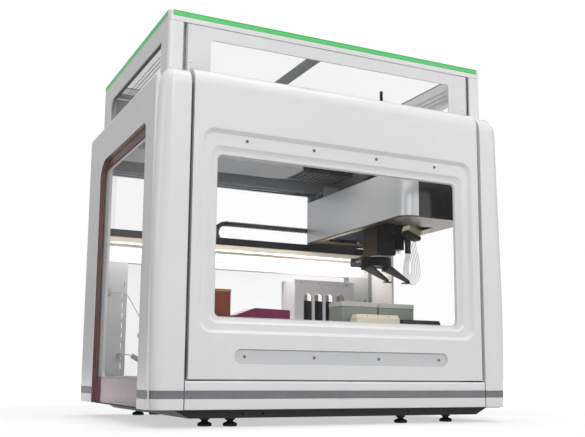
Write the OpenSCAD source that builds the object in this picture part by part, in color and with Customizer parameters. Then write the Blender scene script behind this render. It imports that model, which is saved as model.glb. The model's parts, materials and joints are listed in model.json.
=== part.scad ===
// Benchtop enclosed liquid handling workstation.
// Millimetres. X runs to the right, Y runs to the back, Z runs up from the bench.
// The origin is under the middle of the body, on the bench.

/* [Body] */
// Width over the bowed corner posts
body_w = 1120; // [1116:2:1130]
// Depth over the front faces and the rear sockets
body_d = 810; // [810:2:820]
// Height over the status light ring
body_h = 1120; // [1116:2:1140]

/* [Base] */
// Bottom of the chassis tray above the bench
chassis_z = 23; // [20:1:28]
// Bottom of the white shells
shell_z = 45; // [44:1:48]
// Top face of the deck plate
deck_z = 128; // [126:1:134]
// Lower edge of the metal accent stripe
stripe_z = 73; // [66:1:78]
// Height of the metal accent stripe
stripe_h = 20; // [14:1:24]

/* [Door] */
// Width of the sliding front door
door_w = 926; // [920:2:928]
// Bottom edge of the closed door
door_z = 122; // [120:1:126]
// Top edge of the closed door
door_top = 955; // [948:1:958]
// Radius of the lip that rolls back at the top of the door
lip_r = 50; // [40:1:50]
// Lower edge of the rim round the window
rim_z = 241; // [236:1:248]
// Upper edge of the rim round the window
rim_top = 786; // [778:1:790]

/* [Shells] */
// Top edge of the side panels
side_top = 930; // [924:1:934]
// Outward bow of the corner posts at mid height
post_bow = 9; // [2:1:10]
// Width of the top section
canopy_w = 1048; // [1040:2:1052]

/* [Gantry] */
// Left side of the bridge arm at rest
arm_x = 244; // [236:1:246]
// Underside of the bridge arm
arm_z = 620; // [619:1:624]
// Height of the bridge arm
arm_h = 155; // [146:1:156]
// Distance between the middles of the two fingers
finger_pitch = 80; // [76:1:82]

/* [Hidden] */

$fn = 48;
half_w = body_w / 2;
front_y = -body_d / 2;
rear_y = body_d / 2;

// Sides
panel_in = half_w - 15;             // inner face of the side panels
panel_y = [-371, rear_y - 8];
arch_y = [-282, 242];               // opening in each side panel
arch_top = 815;
frame_x = [530, 538];               // inner frames behind the side windows
clear_y = [-270, 200];              // what stays clear of each side window
clear_z = [124, 790];

// Corner posts
post_in = 473;                      // inner edge of each corner post
post_flat = 521;                    // where the flat front face ends
post_top = 945;
post_side = -372;                   // rear edge of the post's outer side
post_back = [-356, -348];           // rear edges behind the door track and beside it

// Rear
wall_y = 388;                       // inner face of the rear panel
beam_y = [345, 384];
beam_z = [507, 592];
upper_beam_z = [822, 862];
rail_y = [367, 381];
tray_y = [335, 362];

// Top section
ceiling_z = 862;
canopy_z = 868;                     // the top section stands on the ceiling plate
canopy_y = [-346, 388];
roof_z = body_h - 30;
light_z = body_h - 15;
track_x = 476;                      // middle of each door track

// Bridge and pod
arm_w = 258;
arm_y = [-320, 335];
arm_r = 40;
arm_top = arm_z + arm_h;
arm_right = arm_x + arm_w;
col = [arm_x + 56, -73, arm_x + 127, 20];   // gripper column: x, y, x, y
axis = [arm_x + 91.5, -27];         // turning axis of the gripper
probe_x = arm_x + 150;

// Energy chain
chain_y = [338, 360];
chain_low = 602;
chain_high = 672;
chain_h = 15;
chain_pitch = 15;
chain_end = -80;

// ---------- shared shapes ----------

// A block from one corner to the opposite one.
module box(lo, hi) {
    translate(lo) cube([hi[0] - lo[0], hi[1] - lo[1], hi[2] - lo[2]]);
}

// A rectangle from corner to corner with round corners.
module round_rect(lo, hi, r) {
    w = hi[0] - lo[0];
    h = hi[1] - lo[1];
    translate([lo[0] + r, lo[1]]) square([w - 2 * r, h]);
    translate([lo[0], lo[1] + r]) square([w, h - 2 * r]);
    for (x = [lo[0] + r, hi[0] - r], y = [lo[1] + r, hi[1] - r]) translate([x, y]) circle(r);
}

// A profile drawn in X and Z, made solid from y0 to y1.
module along_y(y0, y1) {
    translate([0, y1, 0]) rotate([90, 0, 0]) linear_extrude(y1 - y0) children();
}

// A profile drawn in Y and Z, made solid from x0 to x1.
module along_x(x0, x1) {
    translate([x0, 0, 0]) rotate([90, 0, 90]) linear_extrude(x1 - x0) children();
}

// A part and its mirror image on the other side of the body.
module both_sides() {
    children();
    mirror([1, 0, 0]) children();
}

// A pin or bore along Y.
module pin_y(x, z, y0, y1, r) {
    translate([x, y1, z]) rotate([90, 0, 0]) cylinder(h = y1 - y0, r = r);
}

// A round lead or tube swept through points that lie off the Y direction.
module cord(points, r, sides) {
    n = len(points);
    dirs = [for (i = [0:n - 1]) let (a = points[max(0, i - 1)], b = points[min(n - 1, i + 1)])
        (b - a) / norm(b - a)];
    rings = [for (i = [0:n - 1]) let (d = dirs[i], u = cross(d, [0, 1, 0]) / norm(cross(d, [0, 1, 0])),
        v = cross(d, u)) [for (k = [0:sides - 1])
            points[i] + r * (cos(k * 360 / sides) * u + sin(k * 360 / sides) * v)]];
    polyhedron(
        points = [for (ring = rings) each ring],
        faces = concat(
            [[for (k = [0:sides - 1]) k]],
            [for (i = [0:n - 2], k = [0:sides - 1])
                [i * sides + k, (i + 1) * sides + k, (i + 1) * sides + (k + 1) % sides]],
            [for (i = [0:n - 2], k = [0:sides - 1])
                [i * sides + k, (i + 1) * sides + (k + 1) % sides, i * sides + (k + 1) % sides]],
            [[for (k = [sides - 1:-1:0]) (n - 1) * sides + k]]));
}

// ---------- base ----------

// Folded tray with raked sides and an out-turned flange that the shells stand on.
module base_chassis() {
    wide = 488;
    low = 450;
    color("#1c1b1a") {
        difference() {
            along_y(-385, 385) polygon([[-low, chassis_z], [low, chassis_z], [wide, shell_z - 2.5],
                [540, shell_z - 2.5], [540, shell_z], [-540, shell_z], [-540, shell_z - 2.5],
                [-wide, shell_z - 2.5]]);
            along_y(-382.5, 382.5) polygon([[-low + 1.5, chassis_z + 2.5], [low - 1.5, chassis_z + 2.5],
                [wide - 2, shell_z + 1], [-wide + 2, shell_z + 1]]);
            for (x = [-303, -246, 208, 270]) pin_y(x, 34, -390, -380, 3.2);
            for (p = foot_places()) translate([p[0], p[1], chassis_z - 1]) cylinder(h = 5, r = 5.1);
        }
    }
}

function foot_places() = concat(
    [for (x = [-385, 385], y = [-320, 320]) [x, y]],
    [for (x = [-322, 210], y = [-342, 342]) [x, y]]);

// Levelling feet: a wide pad, a waisted neck and a stud up into the tray.
module levelling_feet() {
    top = chassis_z;
    color("#141414") for (p = foot_places()) translate([p[0], p[1], 0]) rotate_extrude()
        polygon([[0, 0], [17, 0], [19, 2], [19, 7], [15, 10], [9, 12], [9, 16], [14, 18],
            [14, top], [5, top], [5, top + 9], [0, top + 9]]);
}

// Deck plate with a grid of locating holes, narrower between the front posts, on three folded bearers.
module deck_plate() {
    color("#c9ccd0") {
        difference() {
            union() {
                box([-526, -318, deck_z - 10], [526, 326, deck_z]);
                box([-500, -340, deck_z - 10], [500, -317.9, deck_z]);
            }
            for (i = [-2:3], j = [-2:3])
                translate([-142 + i * 156, -8 + j * 100, deck_z - 11]) cylinder(h = 12, r = 4);
        }
        for (x = [-400, 0, 400]) difference() {
            box([x - 20, -300, chassis_z + 2.5], [x + 20, 300, deck_z - 10]);
            box([x - 17, -301, chassis_z + 5.5], [x + 17, 301, deck_z - 13]);
        }
    }
}

// Folded trim under the door, with a groove for the stripe.
module front_trim() {
    color("#f4f4f3") difference() {
        along_x(-470, 470)
            polygon([[front_y, shell_z], [front_y, 114], [front_y + 4, 118], [-345, 118], [-345, 112],
                [front_y + 7, 112], [front_y + 7, 51], [-380, 51], [-380, shell_z]]);
        box([-half_w, front_y - 1, stripe_z], [half_w, front_y + 1.5, stripe_z + stripe_h]);
    }
}

// The metal stripe, let in flush all round.
module accent_stripes() {
    z0 = stripe_z;
    z1 = stripe_z + stripe_h;
    color("#a9abad") {
        box([-470, front_y, z0], [470, front_y + 1.5, z1]);
        both_sides() {
            translate([0, 0, z0]) linear_extrude(z1 - z0) polygon(post_section(z0 + stripe_h / 2, 0, 1.5));
            box([half_w - 1.5, panel_y[0], z0], [half_w, arch_y[0], z1]);
            box([half_w - 1.5, arch_y[1], z0], [half_w, panel_y[1], z1]);
            box([frame_x[1] - 1.5, arch_y[0], z0], [frame_x[1], arch_y[1], z1]);
        }
    }
}

// ---------- corner posts and sides ----------

// How far the post draws in at a height: a gentle bow, and round shoulders at the top.
function bow_in(z) = post_bow * pow((z - 500) / 450, 2);
function shoulder(z, r, h) = let (t = max(0, min(0.995, (z - post_top + h) / h))) r * (1 - sqrt(1 - t * t));
// How full the corner is: creased near the top, round further down.
function full(z) = 0.45 + 0.55 * max(0, min(1, (700 - z) / 400));
function bend(p, c, q, t) = (1 - t) * (1 - t) * p + 2 * t * (1 - t) * c + t * t * q;

// The outline of the right post at one height, drawn in by a wall thickness.
function post_outline(z, wall) =
    let (yf = min(front_y + shoulder(z, 48, 50) + wall, post_back[0] - 2),
        side_in = shoulder(z, 36, 60),
        xo = half_w - bow_in(z) - side_in - wall,
        xb = min(543, half_w - bow_in(z) - side_in - 2) - wall,
        ys = max(post_side, front_y + shoulder(z, 48, 50) + 0.5) - wall,
        p = [post_flat - 0.3 * side_in, yf],
        q = [xo, ys],
        middle = (p + q) / 2,
        c = middle + full(z) * ([xo, yf] - middle))
    concat([[post_in + wall, post_back[0]], [post_in + wall, yf]],
        [for (i = [0:8]) bend(p, c, q, i / 8)], [[xb, ys], [xb, post_back[1]]]);
// Its wall section: that outline, and the same outline set in by the wall, run backwards.
function post_section(z, skin, wall) =
    let (inner = post_outline(z, wall))
    concat(post_outline(z, skin), [for (i = [len(inner) - 1:-1:0]) inner[i]]);

// The right corner post: a moulded skin, open at the back, with a groove for the stripe.
module corner_post() {
    start = post_top - 60;
    mid = stripe_z + stripe_h / 2;
    top = stripe_z + stripe_h;
    levels = concat([[shell_z, shell_z, 0], [stripe_z - 0.1, stripe_z, 0], [stripe_z - 0.1 + 0.02, mid, 1.8],
        [top + 0.1 - 0.02, mid, 1.8], [top + 0.1, top, 0]],
        [for (i = [1:9]) let (z = top + (start - top) * i / 9) [z, z, 0]],
        [for (i = [1:9]) let (z = start + 59.9 * sin(i * 10)) [z, z, 0]]);
    rings = [for (v = levels) [for (p = post_section(v[1], v[2], v[2] + 4)) [p[0], p[1], v[0]]]];
    n = len(rings[0]);
    last = len(levels) - 1;
    polyhedron(
        points = [for (r = rings) each r],
        faces = concat(
            [[for (i = [0:n - 1]) i]],
            [for (k = [0:last - 1], i = [0:n - 1]) [k * n + i, (k + 1) * n + i, (k + 1) * n + (i + 1) % n]],
            [for (k = [0:last - 1], i = [0:n - 1]) [k * n + i, (k + 1) * n + (i + 1) % n, k * n + (i + 1) % n]],
            [[for (i = [n - 1:-1:0]) last * n + i]]));
}

module left_corner_post() { color("#f2f2f1") mirror([1, 0, 0]) corner_post(); }
module right_corner_post() { color("#f2f2f1") corner_post(); }

// The opening in a side panel: an arch that is open at the bottom.
module side_arch(shrink, low) {
    lo = arch_y[0] + shrink;
    hi = arch_y[1] - shrink;
    top = arch_top - shrink;
    r_front = 25;
    r_back = 70;
    translate([lo, low]) square([hi - lo, top - r_back - low]);
    translate([lo, low]) square([hi - lo - r_back, top - r_front - low]);
    translate([lo + r_front, low]) square([hi - lo - r_front - r_back, top - low]);
    translate([lo + r_front, top - r_front]) circle(r_front);
    translate([hi - r_back, top - r_back]) circle(r_back);
}

module side_panel() {
    edge = 6;
    difference() {
        along_x(panel_in, half_w) difference() {
            polygon([[panel_y[0], shell_z], [panel_y[1], shell_z], [panel_y[1], side_top - 14],
                [panel_y[1] - 14, side_top], [panel_y[0] + 20, side_top], [panel_y[0], side_top - 12]]);
            side_arch(0, shell_z - 1);
        }
        // Bevels along the top and front edges
        translate([half_w, -400, side_top - edge]) rotate([0, 45, 0]) translate([-20, 0, 0]) cube([40, 820, 20]);
        translate([half_w - edge, panel_y[0], 0]) rotate([0, 0, 45]) translate([-20, -20, 0]) cube([40, 20, 1000]);
        box([half_w - 1.5, -400, stripe_z], [half_w + 1, 420, stripe_z + stripe_h]);
    }
}

module left_side_panel() { color("#f0f0ef") mirror([1, 0, 0]) side_panel(); }
module right_side_panel() { color("#f0f0ef") side_panel(); }

// The frames behind the tinted windows, each with a clear opening and a skirt below it.
module inner_frames() {
    color("#dcdcdc") both_sides() difference() {
        along_x(frame_x[0], frame_x[1]) difference() {
            translate([-340, shell_z + 2]) square([722, ceiling_z - shell_z - 2]);
            round_rect([clear_y[0], clear_z[0]], [clear_y[1], clear_z[1]], 20);
        }
        box([frame_x[1] - 1.5, arch_y[0], stripe_z], [frame_x[1] + 1, arch_y[1], stripe_z + stripe_h]);
    }
}

module side_windows() {
    color([0.6, 0.4, 0.4, 0.5]) both_sides()
        along_x(540.7, 544.7) side_arch(-8, shell_z + 2);
}

// ---------- rear ----------

module rear_panel() {
    color("#eeeeee") difference() {
        along_y(wall_y, panel_y[1]) difference() {
            translate([-544, shell_z + 2]) square([1088, side_top - shell_z - 12]);
            round_rect([-470, 602], [470, 814], 14);
        }
        for (i = [0:6], x = [205, 287, 369])
            along_y(wall_y - 1, panel_y[1] + 1) round_rect([x - 36, 330 + i * 20], [x + 36, 337 + i * 20], 3.4);
        along_y(wall_y - 1, panel_y[1] + 1) square_hole([200, 160], [440, 290]);
        for (x = [190, 450], z = [148, 302]) pin_y(x, z, wall_y - 1, panel_y[1] + 1, 2.6);
    }
}

module square_hole(lo, hi) { translate(lo) square([hi[0] - lo[0], hi[1] - lo[1]]); }

module rear_window() {
    color([0.85, 0.9, 0.92, 0.35]) along_y(wall_y - 3.6, wall_y) round_rect([-480, 593], [480, 821], 10);
}

// Removable plate with the mains inlet, the signal sockets and the switch's cut-out.
module service_plate() {
    y0 = panel_y[1];
    color("#c4c6c8") {
        difference() {
            along_y(y0, y0 + 3) round_rect([180, 138], [460, 312], 8);
            along_y(y0 - 1, y0 + 4) {
                square_hole([214, 180], [242, 204]);
                square_hole([262.5, 177.5], [283.5, 206.5]);
                for (x = [320, 360, 400]) translate([x, 192]) circle(7);
                for (x = [220, 270, 320, 370]) square_hole([x, 246], [x + 18, 258]);
            }
            for (x = [190, 450], z = [148, 302]) pin_y(x, z, y0 - 1, y0 + 4, 2.6);
        }
        // Inlet body, a moulded cup with three blades
        difference() {
            along_y(y0 - 24, rear_y) round_rect([208, 174], [248, 210], 4);
            along_y(y0 - 20, rear_y + 1) round_rect([214, 180], [242, 204], 3);
        }
        for (x = [220, 228, 236]) box([x - 1, y0 - 21, 190], [x + 1, y0 - 4, 195]);
        for (x = [320, 360, 400]) difference() {
            pin_y(x, 192, y0 - 10, rear_y, 9);
            pin_y(x, 192, y0 - 6, rear_y + 1, 6.5);
        }
    }
}

// Rocker of the mains switch, on the round pivot that it tips about.
module power_switch() {
    y0 = panel_y[1];
    color("#202020") {
        along_x(264, 282) polygon([[y0 - 9, 192], [y0 - 2, 179], [y0 + 3.2, 179],
            [y0 + 1.2, 192], [y0 + 3.2, 205], [y0 - 2, 205]]);
        along_x(263, 283) translate([394, 192]) circle(2);
    }
}

// Folded columns that carry the rear beam, with slots for harness clips.
module rear_columns() {
    color("#a7aaad") both_sides() difference() {
        box([430, 345, shell_z], [515, wall_y - 1, beam_z[0]]);
        box([433, 348, shell_z + 3], [512, wall_y, beam_z[0] - 3]);
        for (z = [150:34:440]) along_y(340, 350) round_rect([440, z], [446, z + 18], 2.9);
        for (z = [390, 405, 420]) pin_y(502, z, 340, 350, 4);
    }
}

module rear_beam() {
    color("#f0efec") along_x(-515, 515) difference() {
        square_hole([beam_y[0], beam_z[0]], [beam_y[1], beam_z[1]]);
        square_hole([beam_y[0] + 3, beam_z[0] + 3], [beam_y[1] - 3, beam_z[1] - 3]);
    }
}

// The two rails that the bridge runs on, each with waisted sides.
module x_rails() {
    a = rail_y[0];
    b = rail_y[1];
    z0 = beam_z[1];
    z1 = upper_beam_z[0];
    color("#8e9194") {
        difference() {
            along_x(-515, 515) polygon([[a, z0], [b, z0], [b, z0 + 5], [b - 2, z0 + 7], [b, z0 + 9],
                [b, z0 + 14], [a, z0 + 14], [a, z0 + 9], [a + 2, z0 + 7], [a, z0 + 5]]);
            for (x = [-480:120:480]) translate([x, (a + b) / 2, z0 + 8]) cylinder(h = 7, r = 3.5);
        }
        along_x(-515, 515) polygon([[a, z1], [b, z1], [b, z1 - 5], [b - 2, z1 - 7], [b, z1 - 9],
            [b, z1 - 14], [a, z1 - 14], [a, z1 - 9], [a + 2, z1 - 7], [a, z1 - 5]]);
    }
}

// Light strip: a diffuser with a rounded nose under the front of the beam.
module light_bar() {
    color("#fff6df") along_x(-514, 514) {
        square_hole([334, 568], [345, 592]);
        square_hole([330, 572], [335, 588]);
        translate([334, 572]) circle(4);
        translate([334, 588]) circle(4);
    }
}

// Channel that the chain lies in, on brackets in front of the beam.
module chain_tray() {
    y0 = tray_y[0];
    y1 = tray_y[1];
    color("#2a2a2b") difference() {
        along_x(-515, 515) difference() {
            square_hole([y0, 592], [y1, 618]);
            square_hole([y0 + 1.5, 593.5], [y1 - 1.5, 619]);
        }
        for (x = [-500:40:500]) pin_y(x, 606, y0 - 1, y0 + 3, 2.2);
    }
}

// The wide shell of one link of the energy chain, open inside.
module chain_link() {
    w = chain_y[1] - chain_y[0];
    difference() {
        box([-0.4, -w / 2, -chain_h / 2], [chain_pitch - 3, w / 2, chain_h / 2]);
        box([-1, -w / 2 + 2.7, -chain_h / 2 + 2.7], [chain_pitch + 1, w / 2 - 2.7, chain_h / 2 - 2.7]);
    }
}
// The chain's section as a frame: cut back by the outer amount, opened up by the inner one.
module chain_ring(outer, inner) {
    w = chain_y[1] - chain_y[0];
    difference() {
        square([chain_h - outer, w - outer], center = true);
        square([chain_h - inner, w - inner], center = true);
    }
}

// Links laid along the tray, round the loop and back along the top to the bridge.
module energy_chain() {
    mid_y = (chain_y[0] + chain_y[1]) / 2;
    r = (chain_high - chain_low) / 2;
    run = floor((arm_x + 36 - chain_end) / chain_pitch);
    turn = 8;
    color("#262524") {
        for (z = [chain_low, chain_high]) translate([chain_end, mid_y, z]) {
            for (i = [0:run - 1]) translate([i * chain_pitch, 0, 0]) chain_link();
            rotate([0, 90, 0]) linear_extrude(run * chain_pitch - 3) chain_ring(4, 7);
        }
        translate([chain_end, mid_y, chain_low + r]) rotate([90, 0, 0]) rotate([0, 0, 90]) {
            rotate_extrude(angle = 180) translate([r, 0]) chain_ring(4, 7);
            for (i = [0:turn - 1]) rotate([0, 0, i * 180 / turn + 1.5])
                rotate_extrude(angle = 180 / turn - 3) translate([r, 0]) chain_ring(0, 5.4);
        }
    }
}

// ---------- upper frame ----------

// Four columns, the ceiling plate they carry, and the upper beam at the rear.
module main_frame() {
    color("#8d9093") {
        difference() {
            box([-540, -344, ceiling_z], [540, 384, canopy_z]);
            translate([0, 0, ceiling_z - 1]) linear_extrude(9) round_rect([-450, -330], [450, 60], 10);
            both_sides() box([track_x - 11, -345, ceiling_z - 1], [track_x + 11, -321, canopy_z + 1]);
        }
        both_sides() {
            box([503, -344, shell_z], [528, -322, ceiling_z]);
            box([516, 345, shell_z], [529.5, 383, ceiling_z]);
        }
        along_x(-515.5, 515.5) difference() {
            square_hole([beam_y[0], upper_beam_z[0]], [beam_y[1] - 0.3, upper_beam_z[1]]);
            square_hole([beam_y[0] + 3, upper_beam_z[0] + 3], [beam_y[1] - 3, upper_beam_z[1] - 3]);
        }
    }
}

module ceiling_duct() {
    color("#bfc1c3") translate([0, 0, 832]) linear_extrude(30)
        polygon([[-527, 65], [86, 65], [100, 79], [100, 212], [72, 240], [-527, 240]]);
}

module flexible_duct() {
    color("#1f1f20") {
        for (i = [0:9]) along_x(101 + i * 21, 117 + i * 21) round_rect([100, 834], [232, 862], 9);
        along_x(101, 308) round_rect([105, 837], [227, 860], 6);
    }
}

// ---------- door tracks ----------

// Channels that guide the door, open to the front through a slot.
module door_guides() {
    color("#9a9da0") both_sides() translate([track_x, 0, 130]) linear_extrude(roof_z - 134) difference() {
        square_hole([-10, -341], [10, -322]);
        square_hole([-6.5, -338], [6.5, -325]);
        square_hole([-3.5, -342], [3.5, -337]);
    }
}

// Housings of the spring reels that balance the door, behind the top of each track.
module door_balancers() {
    color("#5a5d60") both_sides() {
        along_x(track_x - 8, track_x + 8) difference() {
            union() {
                translate([-301, 1046]) circle(20);
                square_hole([-322, 1026], [-301, 1066]);
            }
            translate([-301, 1046]) circle(5);
        }
    }
}

// ---------- top section ----------

// Side sheets with window openings, rounded corners and ribbed beams under the roof.
module canopy_frame() {
    x1 = canopy_w / 2;
    x0 = 482;
    h = roof_z - canopy_z;
    color("#e6e7e8") both_sides() {
        for (s = [0, 1]) translate([0, 0, canopy_z]) linear_extrude(h) intersection() {
            difference() {
                round_rect([x0 - 20, canopy_y[0]], [x1, canopy_y[1]], 11);
                round_rect([x0 - 25, canopy_y[0] + 5], [x1 - 5, canopy_y[1] - 5], 6);
            }
            if (s == 0) square_hole([x0, canopy_y[0] - 1], [x1 + 1, canopy_y[0] + 40]);
            if (s == 1) square_hole([x0, canopy_y[1] - 40], [x1 + 1, canopy_y[1] + 1]);
        }
        along_x(x1 - 5, x1) difference() {
            square_hole([canopy_y[0] + 39.9, canopy_z], [canopy_y[1] - 39.9, roof_z]);
            side_opening(0);
        }
        along_y(-276, 380) difference() {
            square_hole([470, 1030], [500, roof_z - 2]);
            for (z = [1040, 1055, 1070]) square_hole([469, z], [474, z + 6]);
            square_hole([478, 1034], [496, roof_z - 6]);
        }
    }
    // Cross member under the roof
    color("#8f9193") box([-60, canopy_y[0] + 10, roof_z - 6], [-17, canopy_y[1] - 10, roof_z]);
}

// Opening of the top section's side window, with a larger radius at the rear top corner.
module side_opening(grow) {
    lo = [-281 - grow, 940 - grow];
    hi = [300 + grow, 1049 + grow];
    r = 40;
    square_hole(lo, [hi[0], hi[1] - r]);
    square_hole(lo, [hi[0] - r, hi[1]]);
    translate([hi[0] - r, hi[1] - r]) circle(r);
}

module canopy_front_panel() {
    y = canopy_y[0];
    color("#e9eaea") along_y(y, y + 5) difference() {
        square_hole([-468, canopy_z], [468, roof_z - 2]);
        round_rect([-401, 925], [401, 1052], 10);
    }
}

module canopy_windows() {
    y = canopy_y[0] + 5;
    x = canopy_w / 2 - 5;
    color([0.9, 0.93, 0.94, 0.3]) {
        along_y(y, y + 3) round_rect([-412, 914], [412, 1063], 10);
        both_sides() along_x(x - 3, x) side_opening(8);
        // Catch that holds the front pane shut
        box([154, y + 3, 964], [161, y + 10, 995]);
    }
}

module canopy_rear_panel() {
    y = canopy_y[1];
    color("#e3e4e5") along_y(y - 5, y) difference() {
        square_hole([-481.5, canopy_z], [481.5, roof_z - 2]);
        round_rect([-440, 930], [-200, 1056], 10);
        round_rect([200, 930], [440, 1056], 10);
    }
}

// Pleated exhaust filters behind the two openings of the rear panel.
module exhaust_filters() {
    y0 = canopy_y[1] - 45;
    color("#3b3c3c") both_sides() difference() {
        box([192, y0, 922], [448, canopy_y[1] - 5, 1064]);
        for (i = [0:17]) box([202 + i * 13.4, y0 - 1, 930], [208 + i * 13.4, y0 + 14, 1056]);
    }
}

// White band, corner caps and the lid inside the light ring.
module roof_cap() {
    x = canopy_w / 2;
    y0 = canopy_y[0] - 1;
    y1 = canopy_y[1] + 1;
    color("#f3f3f3") {
        difference() {
            translate([0, 0, roof_z]) linear_extrude(15) round_rect([-x, y0], [x, y1], 12);
            box([-x + 45, y0 + 50, roof_z - 1], [x - 45, y1 - 60, roof_z + 16]);
        }
        difference() {
            translate([0, 0, light_z]) linear_extrude(11) round_rect([-x + 14, y0 + 14], [x - 14, y1 - 14], 6);
            box([-x + 45, y0 + 50, light_z - 1], [x - 45, y1 - 60, light_z + 8]);
        }
        // Rounded caps at the corners of the ring
        for (sx = [-1, 1], y = [y0, y1]) translate([sx * x, y, light_z]) intersection() {
            translate([-sx * 12, y < 0 ? 12 : -12, 0]) cylinder(h = body_h - light_z, r = 12);
            translate([-sx * 6 - 6, y < 0 ? 0 : -12, 0]) cube([12, 12, 20]);
        }
    }
}

module status_light() {
    x = canopy_w / 2;
    y0 = canopy_y[0] - 1;
    y1 = canopy_y[1] + 1;
    h = body_h - light_z;
    color("#35c759") {
        for (y = [y0, y1 - 12]) box([-x + 12.3, y, light_z], [x - 12.3, y + 12, light_z + h]);
        for (sx = [-1, 1]) box([sx * (x - 6) - 6, y0 + 12.3, light_z], [sx * (x - 6) + 6, y1 - 12.3, light_z + h]);
    }
}

// ---------- deck ----------

module service_module() {
    lo = [163, 275, deck_z];
    hi = [410, wall_y - 4, 478];
    color("#cfcac3") difference() {
        union() {
            box(lo, hi);
            along_y(271, 275.5) round_rect([164, deck_z + 12], [406, 457], 3);
        }
        box([lo[0] + 3, lo[1] + 3, lo[2] - 1], [hi[0] - 3, hi[1] + 1, hi[2] - 3]);
        for (i = [0:3]) along_y(265, 285) {
            translate([217 + i * 44.5, 413]) circle(17);
            square_hole([200 + i * 44.5, 300], [234 + i * 44.5, 413]);
        }
        for (x = [190, 262, 380]) pin_y(x, 467, 270, 282, 3);
    }
}

// Syringe pumps that stand behind the arched openings.
module pump_cartridges() {
    for (i = [0:3]) translate([217 + i * 44.5, 0, 0]) {
        color("#2c2b2a") difference() {
            box([-18, 290, deck_z], [18, 330, 404]);
            box([-4, 289, 306], [4, 300, 398]);
        }
        color("#d7d3cb") translate([0, 306, 404]) cylinder(h = 24, r = 13);
    }
}

// Middles and sizes of the deck positions: x, y, length, width.
function rows() = [for (x = [-376, -220, -64, 92, 248], y = [-118, -8, 102]) [x, y, 128, 86]];
function places() = concat(rows(), [[-376, -273, 128, 86], [-218, -273, 164, 86], [204, -268, 330, 136]]);
nest_z = 255;

// Towers that hold labware: a column and a nest plate with a raised edge.
module deck_positioners() {
    for (p = places()) translate([p[0], p[1], 0]) color("#b4b7ba") difference() {
        union() {
            difference() {
                box([-p[2] / 2 + 18, -p[3] / 2 + 12, deck_z], [p[2] / 2 - 18, p[3] / 2 - 12, nest_z - 8]);
                box([-p[2] / 2 + 22, -p[3], deck_z + 4], [p[2] / 2 - 22, p[3], nest_z - 9]);
            }
            box([-p[2] / 2 - 4, -p[3] / 2 - 4, nest_z - 8], [p[2] / 2 + 4, p[3] / 2 + 4, nest_z + 4]);
        }
        box([-p[2] / 2 - 0.5, -p[3] / 2 - 0.5, nest_z], [p[2] / 2 + 0.5, p[3] / 2 + 0.5, nest_z + 5]);
        box([-p[2] / 2 + 14, -p[3], nest_z - 2], [p[2] / 2 - 14, p[3], nest_z + 5]);
    }
}

module tip_box() {
    color("#8a4b25") translate([-376, -273, nest_z]) {
        linear_extrude(14) round_rect([-64, -43], [64, 43], 4);
        translate([0, 0, 14]) linear_extrude(88) round_rect([-62, -41], [62, 41], 5);
        translate([0, 0, 102]) linear_extrude(8) round_rect([-63, -42], [63, 42], 5);
    }
}

// Low tray whose lid slopes down to the left.
module reagent_tray() {
    color("#8f1a66") translate([-218, 0, 0]) along_y(-316, -230)
        polygon([[-82, nest_z], [82, nest_z], [82, 312], [79, 315], [-25, 317], [-82, 296]]);
}

// Two covered racks of tubes side by side behind the troughs.
module tube_racks() {
    color("#8d8f8c") for (x = [109, 238]) translate([x, -245, nest_z]) {
        linear_extrude(12) round_rect([-64, -40], [64, 40], 3);
        translate([0, 0, 12]) linear_extrude(70) round_rect([-62.5, -38.5], [62.5, 38.5], 3);
        translate([0, 0, 82]) linear_extrude(14) round_rect([-63.5, -39.5], [63.5, 39.5], 3);
    }
}

module reagent_troughs() {
    color("#e4dfc4") {
        box([71, -332, nest_z], [218, -292, 304]);
        for (i = [0:3]) box([74 + i * 36, -329, 304], [107 + i * 36, -295, 312]);
    }
    color("#1c1c1c") translate([228, 0, 0]) {
        box([0, -332, nest_z], [136, -292, 296]);
        box([2, -330, 296], [134, -294, 301]);
    }
}

// Sensor boxes on the left rear column with the lead clipped between them.
module side_sensor() {
    color("#9c9fa1") {
        box([-514, 331, 392], [-490, 345, 416]);
        box([-470, 314, 178], [-438, 330, 198]);
        box([-462, 330, 182], [-446, 345, 194]);
        box([-514, 337, 186], [-492, 345, 200]);
    }
    color("#8a8d8f") {
        cord([[-492, 338, 394], [-486, 336, 388], [-478, 331, 374], [-470, 326, 352], [-463, 322, 322],
            [-458, 320, 288], [-455, 319, 254], [-454, 319, 224], [-454, 321, 197]], 1.6, 8);
        cord([[-494, 341, 193], [-484, 337, 191], [-474, 331, 189.5], [-466, 326, 189]], 1.6, 8);
    }
}

// ---------- door ----------

// The door's side profile: a flat face, then a quarter round that rolls back at the top.
module door_profile(inset) {
    y0 = front_y + 2 + inset;
    back = front_y + 2 + lip_r;
    square_hole([y0, door_z + inset], [back + inset / 4, door_top - lip_r]);
    intersection() {
        translate([back, door_top - lip_r]) circle(lip_r - inset, $fn = 96);
        square_hole([y0 - 1, door_top - lip_r], [back, door_top]);
    }
    if (inset > 0) square_hole([back - 1, door_z + inset], [back + 1, door_top - inset]);
}

// A bevelled cutter between two round-cornered rectangles.
module bevel_cut(y0, lo0, hi0, r0, y1, lo1, hi1, r1) {
    hull() {
        along_y(y0 - 0.02, y0) round_rect(lo0, hi0, r0, $fn = 40);
        along_y(y1, y1 + 0.02) round_rect(lo1, hi1, r1, $fn = 40);
    }
}

function screw_row() = [for (i = [0:3]) -307.5 + i * 205];

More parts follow.
